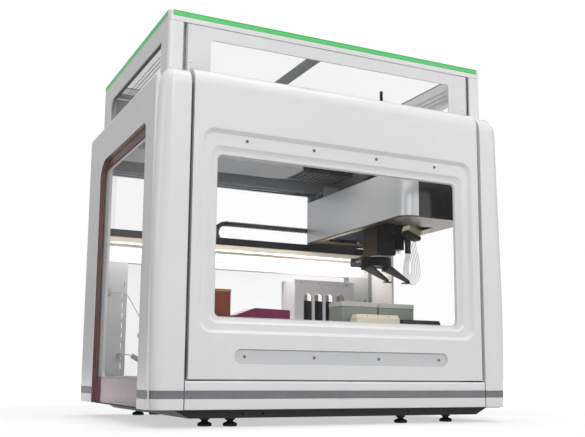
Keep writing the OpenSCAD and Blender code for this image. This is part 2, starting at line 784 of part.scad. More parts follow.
// Moulded door: a hollow shell with a bevelled two-step rim and a recess for the grip.
module door_shell() {
    x = door_w / 2;
    yf = front_y + 2;
    rx = 437;
    color("#f3f3f2") difference() {
        union() {
            difference() {
                along_x(-x, x) door_profile(0);
                along_x(-x + 4, x - 4) door_profile(4);
            }
            // Block behind the rim, and the pad behind the grip
            along_y(yf + 3, yf + 28) round_rect([-rx - 5, rim_z - 5], [rx + 5, rim_top + 5], 40);
            along_y(yf + 3, yf + 12) round_rect([-346, 152], [346, 210], 28);
        }
        bevel_cut(yf - 0.01, [-rx, rim_z], [rx, rim_top], 35, yf + 10, [-rx + 9, rim_z + 8], [rx - 9, rim_top - 11], 27);
        bevel_cut(yf + 9.9, [-408, rim_z + 26], [408, rim_top - 44], 26, yf + 20,
            [-398, rim_z + 35], [398, rim_top - 57], 20);
        along_y(yf + 19, yf + 60) round_rect([-389, rim_z + 41], [389, rim_top - 66], 16);
        along_y(yf - 1, yf + 6) round_rect([-337, 162], [337, 200], 18.9);
        for (x = screw_row()) pin_y(x, 762, yf + 1, yf + 24, 2.4);
        for (x = screw_row()) pin_y(x, 181, yf + 1, yf + 10, 2.4);
    }
}

module door_window() {
    yf = front_y + 2;
    color([0.88, 0.92, 0.94, 0.25])
        along_y(yf + 28, yf + 32) round_rect([-401, rim_z + 29], [401, rim_top - 54], 20);
}

// Button-head screws along the header and the grip.
module door_screws() {
    yf = front_y + 2;
    color("#4a4b4c") for (x = screw_row()) {
        pin_y(x, 762, yf + 9, yf + 20, 2.35);
        pin_y(x, 762, yf + 8, yf + 10, 4.5);
        pin_y(x, 181, yf + 4, yf + 9.5, 2.35);
        pin_y(x, 181, yf + 2, yf + 4, 4);
    }
}

// Grey finger plate let into the recess.
module grip_plate() {
    yf = front_y + 2;
    color("#d4d5d6") difference() {
        along_y(yf + 4, yf + 6) round_rect([-336.4, 162.6], [336.4, 199.4], 18.3);
        for (x = screw_row()) pin_y(x, 181, yf + 3, yf + 8, 2.5);
    }
}

// Carriages behind the door's edges, with an arm through the slot and a shoe in each track.
module door_runners() {
    back = front_y + 2 + lip_r;
    color("#3d3f41") both_sides() for (z = [150, 540]) {
        box([448, back, z], [480, back + 4, z + 60]);
        box([track_x - 3, back + 4, z], [track_x + 3, -336, z + 60]);
        box([track_x - 6, -337.5, z], [track_x + 6, -325.5, z + 60]);
        box([450, -376, z + 5], [459, back, z + 55]);
    }
}

// ---------- bridge ----------

// The arm's outline seen from above, with both front corners rolled.
module arm_outline(inset) {
    lo = [arm_x + inset, arm_y[0] + inset];
    hi = [arm_right - inset, arm_y[1]];
    r = arm_r - inset;
    square_hole([lo[0], lo[1] + r], hi);
    square_hole([lo[0] + r, lo[1]], [hi[0] - r, hi[1]]);
    for (x = [lo[0] + r, hi[0] - r]) translate([x, lo[1] + r]) circle(r, $fn = 96);
}

// Where the column and the probes pass through the arm, over the pod's travel.
module arm_slot() { square_hole([arm_x + 26, -180], [arm_x + 206, 246]); }

// Sheet sides that roll round the front corners, and the top sheet between them.
module arm_cover() {
    color("#b4b6b8") {
        translate([0, 0, arm_z + 4]) linear_extrude(arm_h - 6) difference() {
            arm_outline(0);
            arm_outline(2);
            square_hole([arm_x + 56, arm_y[0] - 1], [arm_right - 50, arm_y[0] + 8]);
        }
        translate([0, 0, arm_top - 2]) linear_extrude(2) difference() {
            arm_outline(0);
            arm_slot();
        }
    }
}

module arm_front_cap() {
    x0 = arm_x + 56.3;
    x1 = arm_right - 50.3;
    color("#23211f") difference() {
        union() {
            translate([0, 0, arm_z + 4]) linear_extrude(arm_h - 6) square_hole([x0, arm_y[0]], [x1, arm_y[0] + 3]);
            for (x = [x0 + 6, x1 - 16]) box([x, arm_y[0] + 2, arm_z + 10], [x + 10, arm_y[0] + 16, arm_top - 8]);
        }
        for (x = [x0 + 6, x1 - 6], z = [arm_z + 12, arm_top - 14]) pin_y(x, z, arm_y[0] - 1, arm_y[0] + 1, 2.5);
    }
}

// Plate under the arm, slotted where the pod travels.
module arm_underside() {
    color("#b9ad97") difference() {
        translate([0, 0, arm_z]) linear_extrude(4) difference() {
            arm_outline(0);
            arm_slot();
        }
        for (p = [[24, -290], [234, -290], [14, 0], [14, 300], [244, 0], [244, 300]])
            translate([arm_x + p[0], p[1], arm_z - 1]) cylinder(h = 3, r = 3.5);
    }
}

// Box beam inside the arm, with the rail and the belt pulleys of the pod.
module arm_beam() {
    x0 = arm_x + 212;
    x1 = x0 + 34;
    color("#c3c6c8") {
        along_y(-300, 330) difference() {
            square_hole([x0, arm_z + 20], [x1, arm_top - 10]);
            square_hole([x0 + 4, arm_z + 24], [x1 - 4, arm_top - 14]);
        }
        // Feet that tie the beam to the plate below
        for (y = [-290, 290]) box([x0, y, arm_z + 4], [x1, y + 24, arm_z + 20]);
    }
    color("#8e9194") along_y(-290, 320) polygon([[x0, arm_z + 74], [x0, arm_z + 88], [x0 - 3, arm_z + 88],
        [x0 - 5, arm_z + 86], [x0 - 8, arm_z + 88], [x0 - 8, arm_z + 74], [x0 - 5, arm_z + 76], [x0 - 3, arm_z + 74]]);
    color("#9b9da0") for (y = [-280, 306]) translate([x0, y, arm_z + 112]) rotate([0, -90, 0]) cylinder(h = 12, r = 11);
}

// Carriage on both rails behind the arm, with its spacer, motor and cable bracket.
module arm_carriage() {
    x0 = arm_x + 24;
    x1 = arm_right - 24;
    a = rail_y[0];
    b = rail_y[1];
    lo = beam_z[1];
    hi = upper_beam_z[0];
    color("#8b94a3") difference() {
        union() {
            box([x0, 364, lo + 20], [x1, 383.5, hi - 18]);
            for (x = [x0, x1 - 70]) {
                box([x, 363, lo + 3], [x + 70, 383.8, lo + 22]);
                box([x, 363, hi - 22], [x + 70, 383.8, hi - 3]);
            }
            box([x0 + 14, 335, arm_z + 30], [x1 - 14, 365, arm_top - 4]);
        }
        for (z = [lo + 7, hi - 7]) along_x(x0 - 1, x1 + 1) square_hole([a - 0.4, z - 7.6], [b + 0.4, z + 7.4]);
        box([x0 + 90, 368, arm_z + 30], [x1 - 90, 390, arm_top]);
        box([x0 + 24, 345, arm_z + 40], [x1 - 24, 366, arm_top - 14]);
    }
    color("#242424") translate([arm_x + 170, 296, arm_top]) cylinder(h = 34, r = 22);
    color("#9fa2a5") difference() {
        box([arm_x + 42, 285, arm_top], [arm_x + 104, 301, arm_top + 60]);
        box([arm_x + 41, 288, arm_top + 3], [arm_x + 105, 302, arm_top + 61]);
    }
    color("#161616") cord([[arm_x + 22, 310, arm_top], [arm_x + 22, 310, arm_top + 8], [arm_x + 24, 308, arm_top + 20],
        [arm_x + 30, 306, arm_top + 30], [arm_x + 40, 303, arm_top + 37], [arm_x + 52, 299, arm_top + 40],
        [arm_x + 66, 295, arm_top + 41]], 4.5, 12);
}

// ---------- pod ----------

// Frame on the arm's rail: guide shelves for the column and the probes, and a fitting block.
module pod_frame() {
    bx = arm_x + 212;
    color("#1e1e1d") difference() {
        union() {
            box([bx - 22, -72, arm_z + 66], [bx - 0.6, 16, arm_z + 96]);
            box([bx - 24, -76, arm_z - 20], [bx - 14, 20, arm_top - 8]);
            for (z = [arm_z + 28, arm_top - 30]) box([col[0] - 6, -80, z], [bx - 14, 27, z + 6]);
            box([arm_x + 163, -76, arm_z - 30], [bx - 14, -20, arm_z + 16]);
            box([arm_x + 163, -80.6, arm_z - 76], [arm_x + 184, -76, arm_z + 28]);
            box([arm_x + 163, -128, arm_z + 20], [arm_x + 196, -76, arm_z + 28]);
        }
        box([bx - 8.5, -80, arm_z + 73.6], [bx + 1, 30, arm_z + 88.4]);
        for (z = [arm_z + 26, arm_top - 32]) {
            box([col[0] - 0.5, col[1] - 0.5, z], [col[2] + 0.5, col[3] + 0.5, z + 10]);
            box([probe_x - 10.5, -15.5, z], [probe_x + 10.5, 15.5, z + 10]);
        }
    }
}

// Cream block of tube fittings, hung at an angle from the pod, with a dark clamp bar.
module tubing_manifold() {
    at = [arm_x + 172, -103, arm_z - 5];
    color("#d8cfbb") translate(at) rotate([0, 22, 0]) difference() {
        union() {
            box([-24, -22, -10], [26, 22, 12]);
            box([-14, -12, 10], [10, 12, 21]);
        }
        for (i = [0:5]) translate([-18 + 7.2 * i, -8, -13]) cylinder(h = 30, r = 1.6);
    }
    color("#1d1d1d") translate(at) rotate([0, 22, 0]) difference() {
        box([-28, -24, -22], [30, 14, -10]);
        for (i = [0:5]) translate([-18 + 7.2 * i, -8, -23]) cylinder(h = 30, r = 1.6);
    }
}

// Loops of thin tube between the clamp bar and the fitting block on the pod.
function tube_top(i) = let (u = -18 + 7.2 * i, w = -22)
    [arm_x + 172 + u * cos(22) + w * sin(22), -111, arm_z - 5 - u * sin(22) + w * cos(22)];
function loop_points(i) = let (a = tube_top(i), b = [arm_x + 181.5 - i * 3.2, -78.3, arm_z - 77.2])
    [for (k = [0:18]) let (t = k / 18, s = sin(180 * t)) [
        a[0] + (b[0] - a[0]) * t + (20 + 6 * i) * s * (1 - t) - (34 + 2 * i) * s * t * t,
        a[1] + (b[1] - a[1]) * t + (i - 2.5) * 3.4 * s,
        a[2] + (b[2] - a[2]) * t - (112 + 7 * i) * pow(s, 0.75)]];

module tubing_loops() {
    color("#e8e6e2") for (i = [0:5]) cord(loop_points(i), 0.9, 8);
}

// ---------- moving tools ----------

// Block with eight probes on a sliding rod.
module probe_head() {
    z0 = arm_z - 64;
    color("#2a2724") {
        box([arm_x + 136, -74, z0], [arm_x + 161.5, 19, arm_z + 20]);
        box([probe_x - 10, -15, arm_z + 20], [probe_x + 10, 15, arm_z + 192]);
    }
    color("#c8cacc") for (i = [0:7]) translate([probe_x, -66 + 9 * i, z0 - 11]) cylinder(h = 11, r = 1.2);
}

// Square column that slides in the pod, with slots for its rail and a dark front.
module gripper_column() {
    color("#8c8070") difference() {
        box([col[0], col[1], arm_z - 85], [col[2], col[3], arm_z + 190]);
        box([col[0] + 3, col[1] + 3, arm_z - 80], [col[2] - 3, col[3] - 3, arm_z + 191]);
        for (z = [arm_z - 70, arm_z + 140]) pin_y(col[0] + 10, z, col[1] - 1, col[1] + 4, 2.5);
    }
    // Bearing that the gripper turns on
    color("#c8cacc") translate([axis[0], axis[1], arm_z - 90]) cylinder(h = 5, r = 26);
}

// Turning body: a round turret with an arm to the left and a slot for the fingers.
module gripper_body() {
    z0 = arm_z - 122;
    z1 = arm_z - 90.3;
    slot_y = axis[1] + 7;
    color("#1b1b1b") difference() {
        union() {
            translate([axis[0], axis[1], z0]) cylinder(h = z1 - z0, r = 41, $fn = 64);
            box([arm_x + 1, axis[1] - 37, z0], [axis[0], axis[1] + 39, z1 - 4]);
        }
        box([arm_x + 12, slot_y - 8, z0 - 1], [axis[0] + 42, slot_y + 8, z0 + 12]);
        box([arm_x - 1, axis[1] - 20, z0 + 16], [arm_x + 9, axis[1] + 24, z1]);
        for (y = [axis[1] - 28, axis[1] + 30]) translate([arm_x + 24, y, z1 - 8]) cylinder(h = 6, r = 3);
    }
    // Sensor and hose barbs on the left end
    color("#b9bbbd") for (y = [axis[1] - 30, axis[1] - 18])
        translate([arm_x - 6, y, z0 + 10]) rotate([0, 90, 0]) cylinder(h = 8, r = 3);
}

// A finger: a block in the slot, a blade that slopes forward and down, and a foot pad.
module finger(side) {
    x = axis[0] - 15 + side * finger_pitch / 2;
    slot_y = axis[1] + 7;
    z0 = arm_z - 122;
    color("#191919") {
        box([x - 7, slot_y - 7.6, z0 - 12], [x + 7, slot_y + 7.6, z0 + 11.6]);
        along_x(x - 4.5, x + 4.5) polygon([[slot_y - 7, z0 - 0.5], [slot_y - 7, z0 - 11.5],
            [slot_y - 7.6, z0 - 14], [-154, 436], [-166, 433], [-166, 441], [-66, z0 - 0.5]]);
        box([x - (side < 0 ? 8 : 18), -169, 430], [x + (side < 0 ? 16 : 6), -151, 434]);
    }
}

module finger_left() { finger(-1); }
module finger_right() { finger(1); }

base_chassis();
levelling_feet();
deck_plate();
front_trim();
accent_stripes();
left_corner_post();
right_corner_post();
left_side_panel();
right_side_panel();
inner_frames();
side_windows();
rear_panel();
rear_window();
service_plate();
rear_columns();
rear_beam();
x_rails();
light_bar();
chain_tray();
energy_chain();
main_frame();
ceiling_duct();
flexible_duct();
door_guides();
door_balancers();
canopy_frame();
canopy_front_panel();
canopy_windows();
canopy_rear_panel();
exhaust_filters();
roof_cap();
status_light();
service_module();
pump_cartridges();
deck_positioners();
tip_box();
reagent_tray();
tube_racks();
reagent_troughs();
side_sensor();
power_switch();
door_shell();
door_window();
door_screws();
grip_plate();
door_runners();
arm_beam();
arm_cover();
arm_front_cap();
arm_underside();
arm_carriage();
pod_frame();
tubing_manifold();
tubing_loops();
probe_head();
gripper_column();
gripper_body();
finger_left();
finger_right();
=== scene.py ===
"""Dresses the liquid handling robot with its finishes and small parts, and lights it in a pale studio.

Each sub-assembly is a class with its sizes as fields, each finish is a frozen dataclass, and main()
builds them in order. All lengths are in metres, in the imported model's own frame: X to the right, Y to the
back, Z up.
"""

import json
import logging
import math
from dataclasses import dataclass
from enum import Enum
from typing import Callable, Iterable, Sequence

import bmesh
import bpy
from mathutils import Matrix, Vector


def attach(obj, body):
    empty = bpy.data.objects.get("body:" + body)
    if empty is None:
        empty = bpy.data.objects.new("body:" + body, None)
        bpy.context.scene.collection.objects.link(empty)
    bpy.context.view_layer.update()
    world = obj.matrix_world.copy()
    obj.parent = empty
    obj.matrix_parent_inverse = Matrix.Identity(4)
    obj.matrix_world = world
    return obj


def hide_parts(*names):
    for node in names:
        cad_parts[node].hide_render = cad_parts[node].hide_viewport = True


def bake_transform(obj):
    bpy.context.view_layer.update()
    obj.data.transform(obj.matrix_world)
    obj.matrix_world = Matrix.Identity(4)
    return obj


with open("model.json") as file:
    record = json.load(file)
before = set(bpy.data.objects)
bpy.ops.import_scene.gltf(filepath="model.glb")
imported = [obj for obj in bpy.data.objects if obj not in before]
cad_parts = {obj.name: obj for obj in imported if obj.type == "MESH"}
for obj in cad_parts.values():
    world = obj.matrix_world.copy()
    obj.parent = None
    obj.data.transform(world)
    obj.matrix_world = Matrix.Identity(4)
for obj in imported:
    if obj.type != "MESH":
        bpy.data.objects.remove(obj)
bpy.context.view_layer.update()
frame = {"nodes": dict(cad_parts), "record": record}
RECORD = frame["record"]
BODY_OF = {node: body for body, nodes in RECORD["behaviour"]["bodies"].items() for node in nodes}
# Finishes made so far, by name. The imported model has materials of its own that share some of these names.
MADE: dict[str, bpy.types.Material] = {}
DUST_COLOUR = (0.62, 0.6, 0.57, 1.0)
WHITE_LIGHT = (1.0, 1.0, 1.0, 1.0)
log = logging.getLogger("robot")
Point = Sequence[float]
Box = tuple[Point, Point]
Spots = Sequence[tuple[Point, Point]]
Flat = tuple[float, float]
Node = bpy.types.Node
Socket = bpy.types.NodeSocket
Piece = bpy.types.Object
BMesh = bmesh.types.BMesh
FaceTest = Callable[[Vector, Vector], bool]
PlaceTest = Callable[[Vector], bool]
LEFT, RIGHT = (-1.0, 0.0, 0.0), (1.0, 0.0, 0.0)
FRONT, BACK = (0.0, -1.0, 0.0), (0.0, 1.0, 0.0)
DOWN, UP = (0.0, 0.0, -1.0), (0.0, 0.0, 1.0)
# Left side and underside of the arm that spans the deck.
ARM_X, ARM_Z = 0.244, 0.62
FAR = math.inf


class Axis(Enum):
    """A main direction of the frame."""

    X = 0
    Y = 1
    Z = 2


def linear(code: str) -> tuple[float, float, float, float]:
    """Turns a screen colour into Blender's linear one.

    Args:
        code: The colour as #rrggbb.

    Returns:
        Red, green, blue and alpha.
    """
    parts = [int(code[i:i + 2], 16) / 255 for i in (1, 3, 5)]
    return tuple(p / 12.92 if p <= 0.04045 else ((p + 0.055) / 1.055) ** 2.4 for p in parts) + (1.0,)


def shade(colour: Sequence[float], factor: float, lift: float = 0.0) -> tuple[float, ...]:
    """Returns a colour made darker or lighter, with its alpha at 1."""
    return tuple(min(1.0, part * factor + lift) for part in colour[:3]) + (1.0,)


# ---------------------------------------------------------------- node trees


class Graph:
    """Short calls for adding and joining the nodes of one tree."""

    def __init__(self, tree: bpy.types.NodeTree) -> None:
        """Keeps the tree that nodes are added to."""
        self.tree = tree

    def add(self, kind: str, inputs: dict | None = None, **settings) -> Node:
        """Adds a node.

        Args:
            kind: The node's type.
            inputs: Values or output sockets, by input name or index.
            **settings: Properties of the node itself.

        Returns:
            The new node.
        """
        node = self.tree.nodes.new(kind)
        for key, value in settings.items():
            setattr(node, key, value)
        for key, value in (inputs or {}).items():
            self.feed(node.inputs[key], value)
        return node

    def feed(self, socket: Socket, value: object) -> None:
        """Sets a socket to a value, or joins an output to it."""
        if isinstance(value, Socket):
            self.tree.links.new(value, socket)
        else:
            socket.default_value = value

    def math(self, operation: str, a: object, b: object) -> Socket:
        """Returns the result of a Math node."""
        return self.add("ShaderNodeMath", {0: a, 1: b}, operation=operation).outputs[0]

    def times(self, a: object, b: object) -> Socket:
        """Returns a times b."""
        return self.math("MULTIPLY", a, b)

    def plus(self, a: object, b: object) -> Socket:
        """Returns a plus b."""
        return self.math("ADD", a, b)

    def mix(self, factor: object, a: object, b: object) -> Socket:
        """Returns a colour between a and b."""
        return self.add("ShaderNodeMix", {0: factor, 6: a, 7: b}, data_type="RGBA").outputs[2]

    def ramp(self, value: object, low: float, high: float,
             to_low: object = 0.0, to_high: object = 1.0) -> Socket:
        """Returns value carried smoothly from low..high to to_low..to_high.

        Args:
            value: What is carried.
            low: Where it starts.
            high: Where it ends.
            to_low: Result at low.
            to_high: Result at high.

        Returns:
            The result.
        """
        inputs = {0: value, 1: low, 2: high, 3: to_low, 4: to_high}
        return self.add("ShaderNodeMapRange", inputs, interpolation_type="SMOOTHSTEP").outputs[0]

    def noise(self, vector: object, scale: object, detail: float = 2.0) -> Socket:
        """Returns the factor of a Noise Texture."""
        return self.add("ShaderNodeTexNoise", {"Vector": vector, "Scale": scale, "Detail": detail}).outputs[0]

    def where(self) -> Socket:
        """Returns the place on the piece, in object coordinates."""
        return self.add("ShaderNodeTexCoord").outputs["Object"]

    def split(self, vector: object) -> list[Socket]:
        """Returns the X, Y and Z of a vector."""
        return list(self.add("ShaderNodeSeparateXYZ", {0: vector}).outputs)

    def join(self, x: object = 0.0, y: object = 0.0, z: object = 0.0) -> Socket:
        """Returns a vector made of X, Y and Z."""
        return self.add("ShaderNodeCombineXYZ", {0: x, 1: y, 2: z}).outputs[0]

    def within(self, value: object, low: float, high: float, edge: float) -> Socket:
        """Returns 1 where value is between low and high, with soft edges.

        Args:
            value: What is tested.
            low: Lower limit.
            high: Upper limit.
            edge: Half the width of a soft edge.

        Returns:
            A value from 0 to 1.
        """
        rise = self.ramp(value, low - edge, low + edge)
        return self.times(rise, self.ramp(value, high + edge, high - edge))

    def glancing(self) -> Socket:
        """Returns how slanting the view is: 0 square on, 1 along the surface."""
        return self.add("ShaderNodeLayerWeight", {"Blend": 0.1}).outputs["Fresnel"]

    def seen(self, *rays: str) -> Socket:
        """Returns 1 for the named kinds of ray.

        Args:
            *rays: Outputs of the Light Path node.

        Returns:
            A value that is 1 for them and 0 for the others.
        """
        path = self.add("ShaderNodeLightPath")
        total = path.outputs[rays[0]]
        for ray in rays[1:]:
            total = self.math("MAXIMUM", total, path.outputs[ray])
        return total

    def repeated(self, points: Socket, shape: Node, turn: Node) -> Socket:
        """Returns copies of a shape on points, each turned its own way.

        Args:
            points: The points.
            shape: Node that makes the shape.
            turn: Node that gives the rotation.

        Returns:
            The copies.
        """
        inputs = {"Points": points, "Instance": shape.outputs[0], "Rotation": turn.outputs[0]}
        return self.add("GeometryNodeInstanceOnPoints", inputs).outputs[0]

    def group(self, tree: bpy.types.NodeTree, **inputs: float) -> Node:
        """Adds a shader group, with its number inputs set.

        Args:
            tree: The group.
            **inputs: Its inputs, with _ for a space.

        Returns:
            The group's node.
        """
        node = self.add("ShaderNodeGroup", node_tree=tree)
        for name, value in inputs.items():
            node.inputs[name.replace("_", " ")].default_value = value
        return node


def emptied(owner: bpy.types.Material | bpy.types.World) -> Graph:
    """Clears the nodes of a material or world, and returns its graph.

    Args:
        owner: The material or world.

    Returns:
        The graph, with no nodes in it.
    """
    owner.use_nodes = True
    owner.node_tree.nodes.clear()
    return Graph(owner.node_tree)


def shader_group(name: str, inputs: dict[str, float], outputs: Iterable[str],
                 fill: Callable[[Graph, Node], dict[str, Socket]]) -> bpy.types.NodeTree:
    """Builds a shader node group once.

    Args:
        name: The group's name.
        inputs: Its number inputs and their usual values.
        outputs: Its number outputs.
        fill: Makes the inside, and returns a socket for each output.

    Returns:
        The group's tree.
    """
    if name in bpy.data.node_groups:
        return bpy.data.node_groups[name]
    tree = bpy.data.node_groups.new(name, "ShaderNodeTree")
    for key, value in inputs.items():
        tree.interface.new_socket(key, in_out="INPUT", socket_type="NodeSocketFloat").default_value = value
    for key in outputs:
        tree.interface.new_socket(key, in_out="OUTPUT", socket_type="NodeSocketFloat")
    graph = Graph(tree)
    entry = graph.add("NodeGroupInput")
    leave = graph.add("NodeGroupOutput")
    for key, socket in fill(graph, entry).items():
        graph.feed(leave.inputs[key], socket)
    return tree


SURFACE = ("Height", "Tone", "Gloss")


def grain_group() -> bpy.types.NodeTree:
    """Fine moulded grain with slow changes of tone over the piece."""
    def fill(g: Graph, entry: Node) -> dict[str, Socket]:
        """Mixes three sizes of noise.

        Args:
            g: The group's graph.
            entry: Its input node.

        Returns:
            A socket for each output.
        """
        where = g.where()
        fine = g.noise(where, entry.outputs["Scale"], 3.0)
        broad = g.noise(where, 2.3, 2.0)
        cloud = g.noise(where, 21.0, 3.0)
        return {"Height": fine, "Tone": g.plus(g.times(broad, 0.6), g.times(cloud, 0.4)),
                "Gloss": g.plus(g.times(fine, 0.5), g.times(cloud, 0.5))}
    return shader_group("moulded_grain", {"Scale": 900.0}, SURFACE, fill)


def brushed_group() -> bpy.types.NodeTree:
    """Fine scratches drawn along one axis; the stretches say how long they are each way."""
    def fill(g: Graph, entry: Node) -> dict[str, Socket]:
        """Stretches noise into lines.

        Args:
            g: The group's graph.
            entry: Its input node.

        Returns:
            A socket for each output.
        """
        where = g.where()
        stretch = g.join(*(entry.outputs[f"Along {axis.name}"] for axis in Axis))
        lines = g.add("ShaderNodeVectorMath", {0: where, 1: stretch}, operation="MULTIPLY").outputs[0]
        fine = g.noise(lines, 1.0, 4.0)
        return {"Height": fine, "Tone": g.noise(where, 6.0, 2.0), "Gloss": g.noise(lines, 0.31, 2.0)}
    return shader_group("brushed_lines", {f"Along {axis.name}": 900.0 for axis in Axis}, SURFACE, fill)


def wear_group() -> bpy.types.NodeTree:
    """A mask that is 1 on worn outer edges, broken up by noise."""
    def fill(g: Graph, entry: Node) -> dict[str, Socket]:
        """Finds the sharp outer edges.

        Args:
            g: The group's graph.
            entry: Its input node.

        Returns:
            A socket for each output.
        """
        sharp = g.add("ShaderNodeNewGeometry").outputs["Pointiness"]
        where = g.where()
        edge = g.ramp(sharp, 0.53, 0.62)
        broken = g.times(edge, g.ramp(g.noise(where, 60.0), 0.35, 0.7))
        return {"Mask": g.times(broken, entry.outputs["Amount"])}
    return shader_group("edge_wear", {"Amount": 0.3}, ["Mask"], fill)


def dust_group() -> bpy.types.NodeTree:
    """A mask that is 1 where fine dust settles on surfaces that face up."""
    def fill(g: Graph, entry: Node) -> dict[str, Socket]:
        """Finds the faces that look up.

        Args:
            g: The group's graph.
            entry: Its input node.

        Returns:
            A socket for each output.
        """
        normal = g.add("ShaderNodeNewGeometry").outputs["Normal"]
        settled = g.times(g.ramp(g.split(normal)[2], 0.6, 1.0), g.noise(g.where(), 35.0, 4.0))
        return {"Mask": g.times(settled, entry.outputs["Amount"])}
    return shader_group("settled_dust", {"Amount": 0.1}, ["Mask"], fill)


# ---------------------------------------------------------------- finishes


@dataclass(frozen=True)
class Finish:
    """A finish that can be put on a piece.

    Attributes:
        name: The material's name.
        colour: Its main colour, as #rrggbb.
        roughness: How matt it is.
    """

    name: str
    colour: str
    roughness: float = 0.4

    def material(self) -> bpy.types.Material:
        """Returns the material, made on first use."""
        if self.name in MADE:
            return MADE[self.name]
        made = MADE[self.name] = bpy.data.materials.new(self.name)
        graph = emptied(made)
        looks = {"Base Color": linear(self.colour), "Roughness": self.roughness}
        shader = graph.add("ShaderNodeBsdfPrincipled", looks)
        graph.add("ShaderNodeOutputMaterial", {"Surface": shader.outputs[0]})
        self.wire(graph, shader)
        return made

    def wire(self, g: Graph, shader: Node) -> None:
        """Adds the finish's own detail to its material.

        Args:
            g: The material's graph.
            shader: Its Principled BSDF.
        """

    def vary(self, g: Graph, shader: Node, group: Node, spread: float, gloss: float,
             height: float, distance: float, wear: float = 0.0, dust: float = 0.0) -> None:
        """Joins a surface group to the shader.

        Args:
            g: The material's graph.
            shader: Its Principled BSDF.
            group: A node with Height, Tone and Gloss outputs.
            spread: How far the tone moves the colour.
            gloss: How far the roughness moves.
            height: Strength of the bump.
            distance: Depth of the bump, in metres.
            wear: How much worn edges lighten.
            dust: How much dust shows on upper faces.
        """
        colour = linear(self.colour)
        light = shade(colour, 1 + spread, 0.004)
        tint = g.mix(g.ramp(group.outputs["Tone"], 0.25, 0.75), shade(colour, 1 - spread), light)
        if wear:
            tint = g.mix(g.group(wear_group(), Amount=wear).outputs["Mask"], tint, shade(colour, 1.4, 0.06))
        if dust:
            tint = g.mix(g.group(dust_group(), Amount=dust).outputs["Mask"], tint, DUST_COLOUR)
        g.feed(shader.inputs["Base Color"], tint)
        matt = g.ramp(group.outputs["Gloss"], 0.2, 0.8, self.roughness - gloss, self.roughness + gloss)
        g.feed(shader.inputs["Roughness"], matt)
        relief = {"Strength": height, "Distance": distance, "Height": group.outputs["Height"]}
        bump = g.add("ShaderNodeBump", relief)
        g.feed(shader.inputs["Normal"], bump.outputs[0])


@dataclass(frozen=True)
class Moulded(Finish):
    """Moulded plastic or a painted shell.

    Attributes:
        coat: Weight of the clear coat.
        grain: How fine the grain is, per metre.
        height: How strong the grain is.
        wear: How much worn edges lighten.
        dust: How much dust shows on upper faces.
    """

    coat: float = 0.0
    grain: float = 900.0
    height: float = 0.12
    wear: float = 0.0
    dust: float = 0.0

    def wire(self, g: Graph, shader: Node) -> None:
        """Adds the grain, tone and gloss.

        Args:
            g: The material's graph.
            shader: Its Principled BSDF.
        """
        shader.inputs["Coat Weight"].default_value = self.coat
        shader.inputs["Coat Roughness"].default_value = 0.18
        group = g.group(grain_group(), Scale=self.grain)
        self.vary(g, shader, group, spread=0.018, gloss=0.05, height=self.height, distance=0.0002,
                  wear=self.wear, dust=self.dust)


@dataclass(frozen=True)
class Metal(Finish):
    """Bare or anodised metal with lines along one axis.

    Attributes:
        lines: The way the lines run.
        height: How deep they are.
        metallic: How metallic it is.
        gloss: How far the roughness moves.
        tone: How far the tone moves the colour.
        along: Scale of the lines along their length.
        across: Their scale across it.
    """

    lines: Axis = Axis.X
    height: float = 0.1
    metallic: float = 1.0
    gloss: float = 0.07
    tone: float = 0.05
    along: float = 18.0
    across: float = 1500.0

    def wire(self, g: Graph, shader: Node) -> None:
        """Adds the drawn lines.

        Args:
            g: The material's graph.
            shader: Its Principled BSDF.
        """
        shader.inputs["Metallic"].default_value = self.metallic
        scales = {f"Along_{axis.name}": self.along if axis is self.lines else self.across for axis in Axis}
        group = g.group(brushed_group(), **scales)
        self.vary(g, shader, group, self.tone, self.gloss, self.height, distance=0.0001, wear=0.25)


@dataclass(frozen=True)
class Pane(Finish):
    """Clear sheet: see-through square on, glossy at a slant, with the faintest smears.

    Attributes:
        body: How much of it shows square on.
        slant: How much more shows at a slant.
    """

    body: float = 0.08
    slant: float = 0.6

    def wire(self, g: Graph, shader: Node) -> None:
        """Adds the slanting reflection and the smears.

        Args:
            g: The material's graph.
            shader: Its Principled BSDF.
        """
        smear = g.noise(g.where(), 9.0, 4.0)
        body = g.ramp(smear, 0.3, 0.8, self.body * 0.8, self.body * 1.2)
        alpha = g.plus(g.times(g.glancing(), self.slant), body)
        g.feed(shader.inputs["Alpha"], alpha)
        g.feed(shader.inputs["Roughness"], g.ramp(smear, 0.3, 0.8, self.roughness, self.roughness + 0.03))


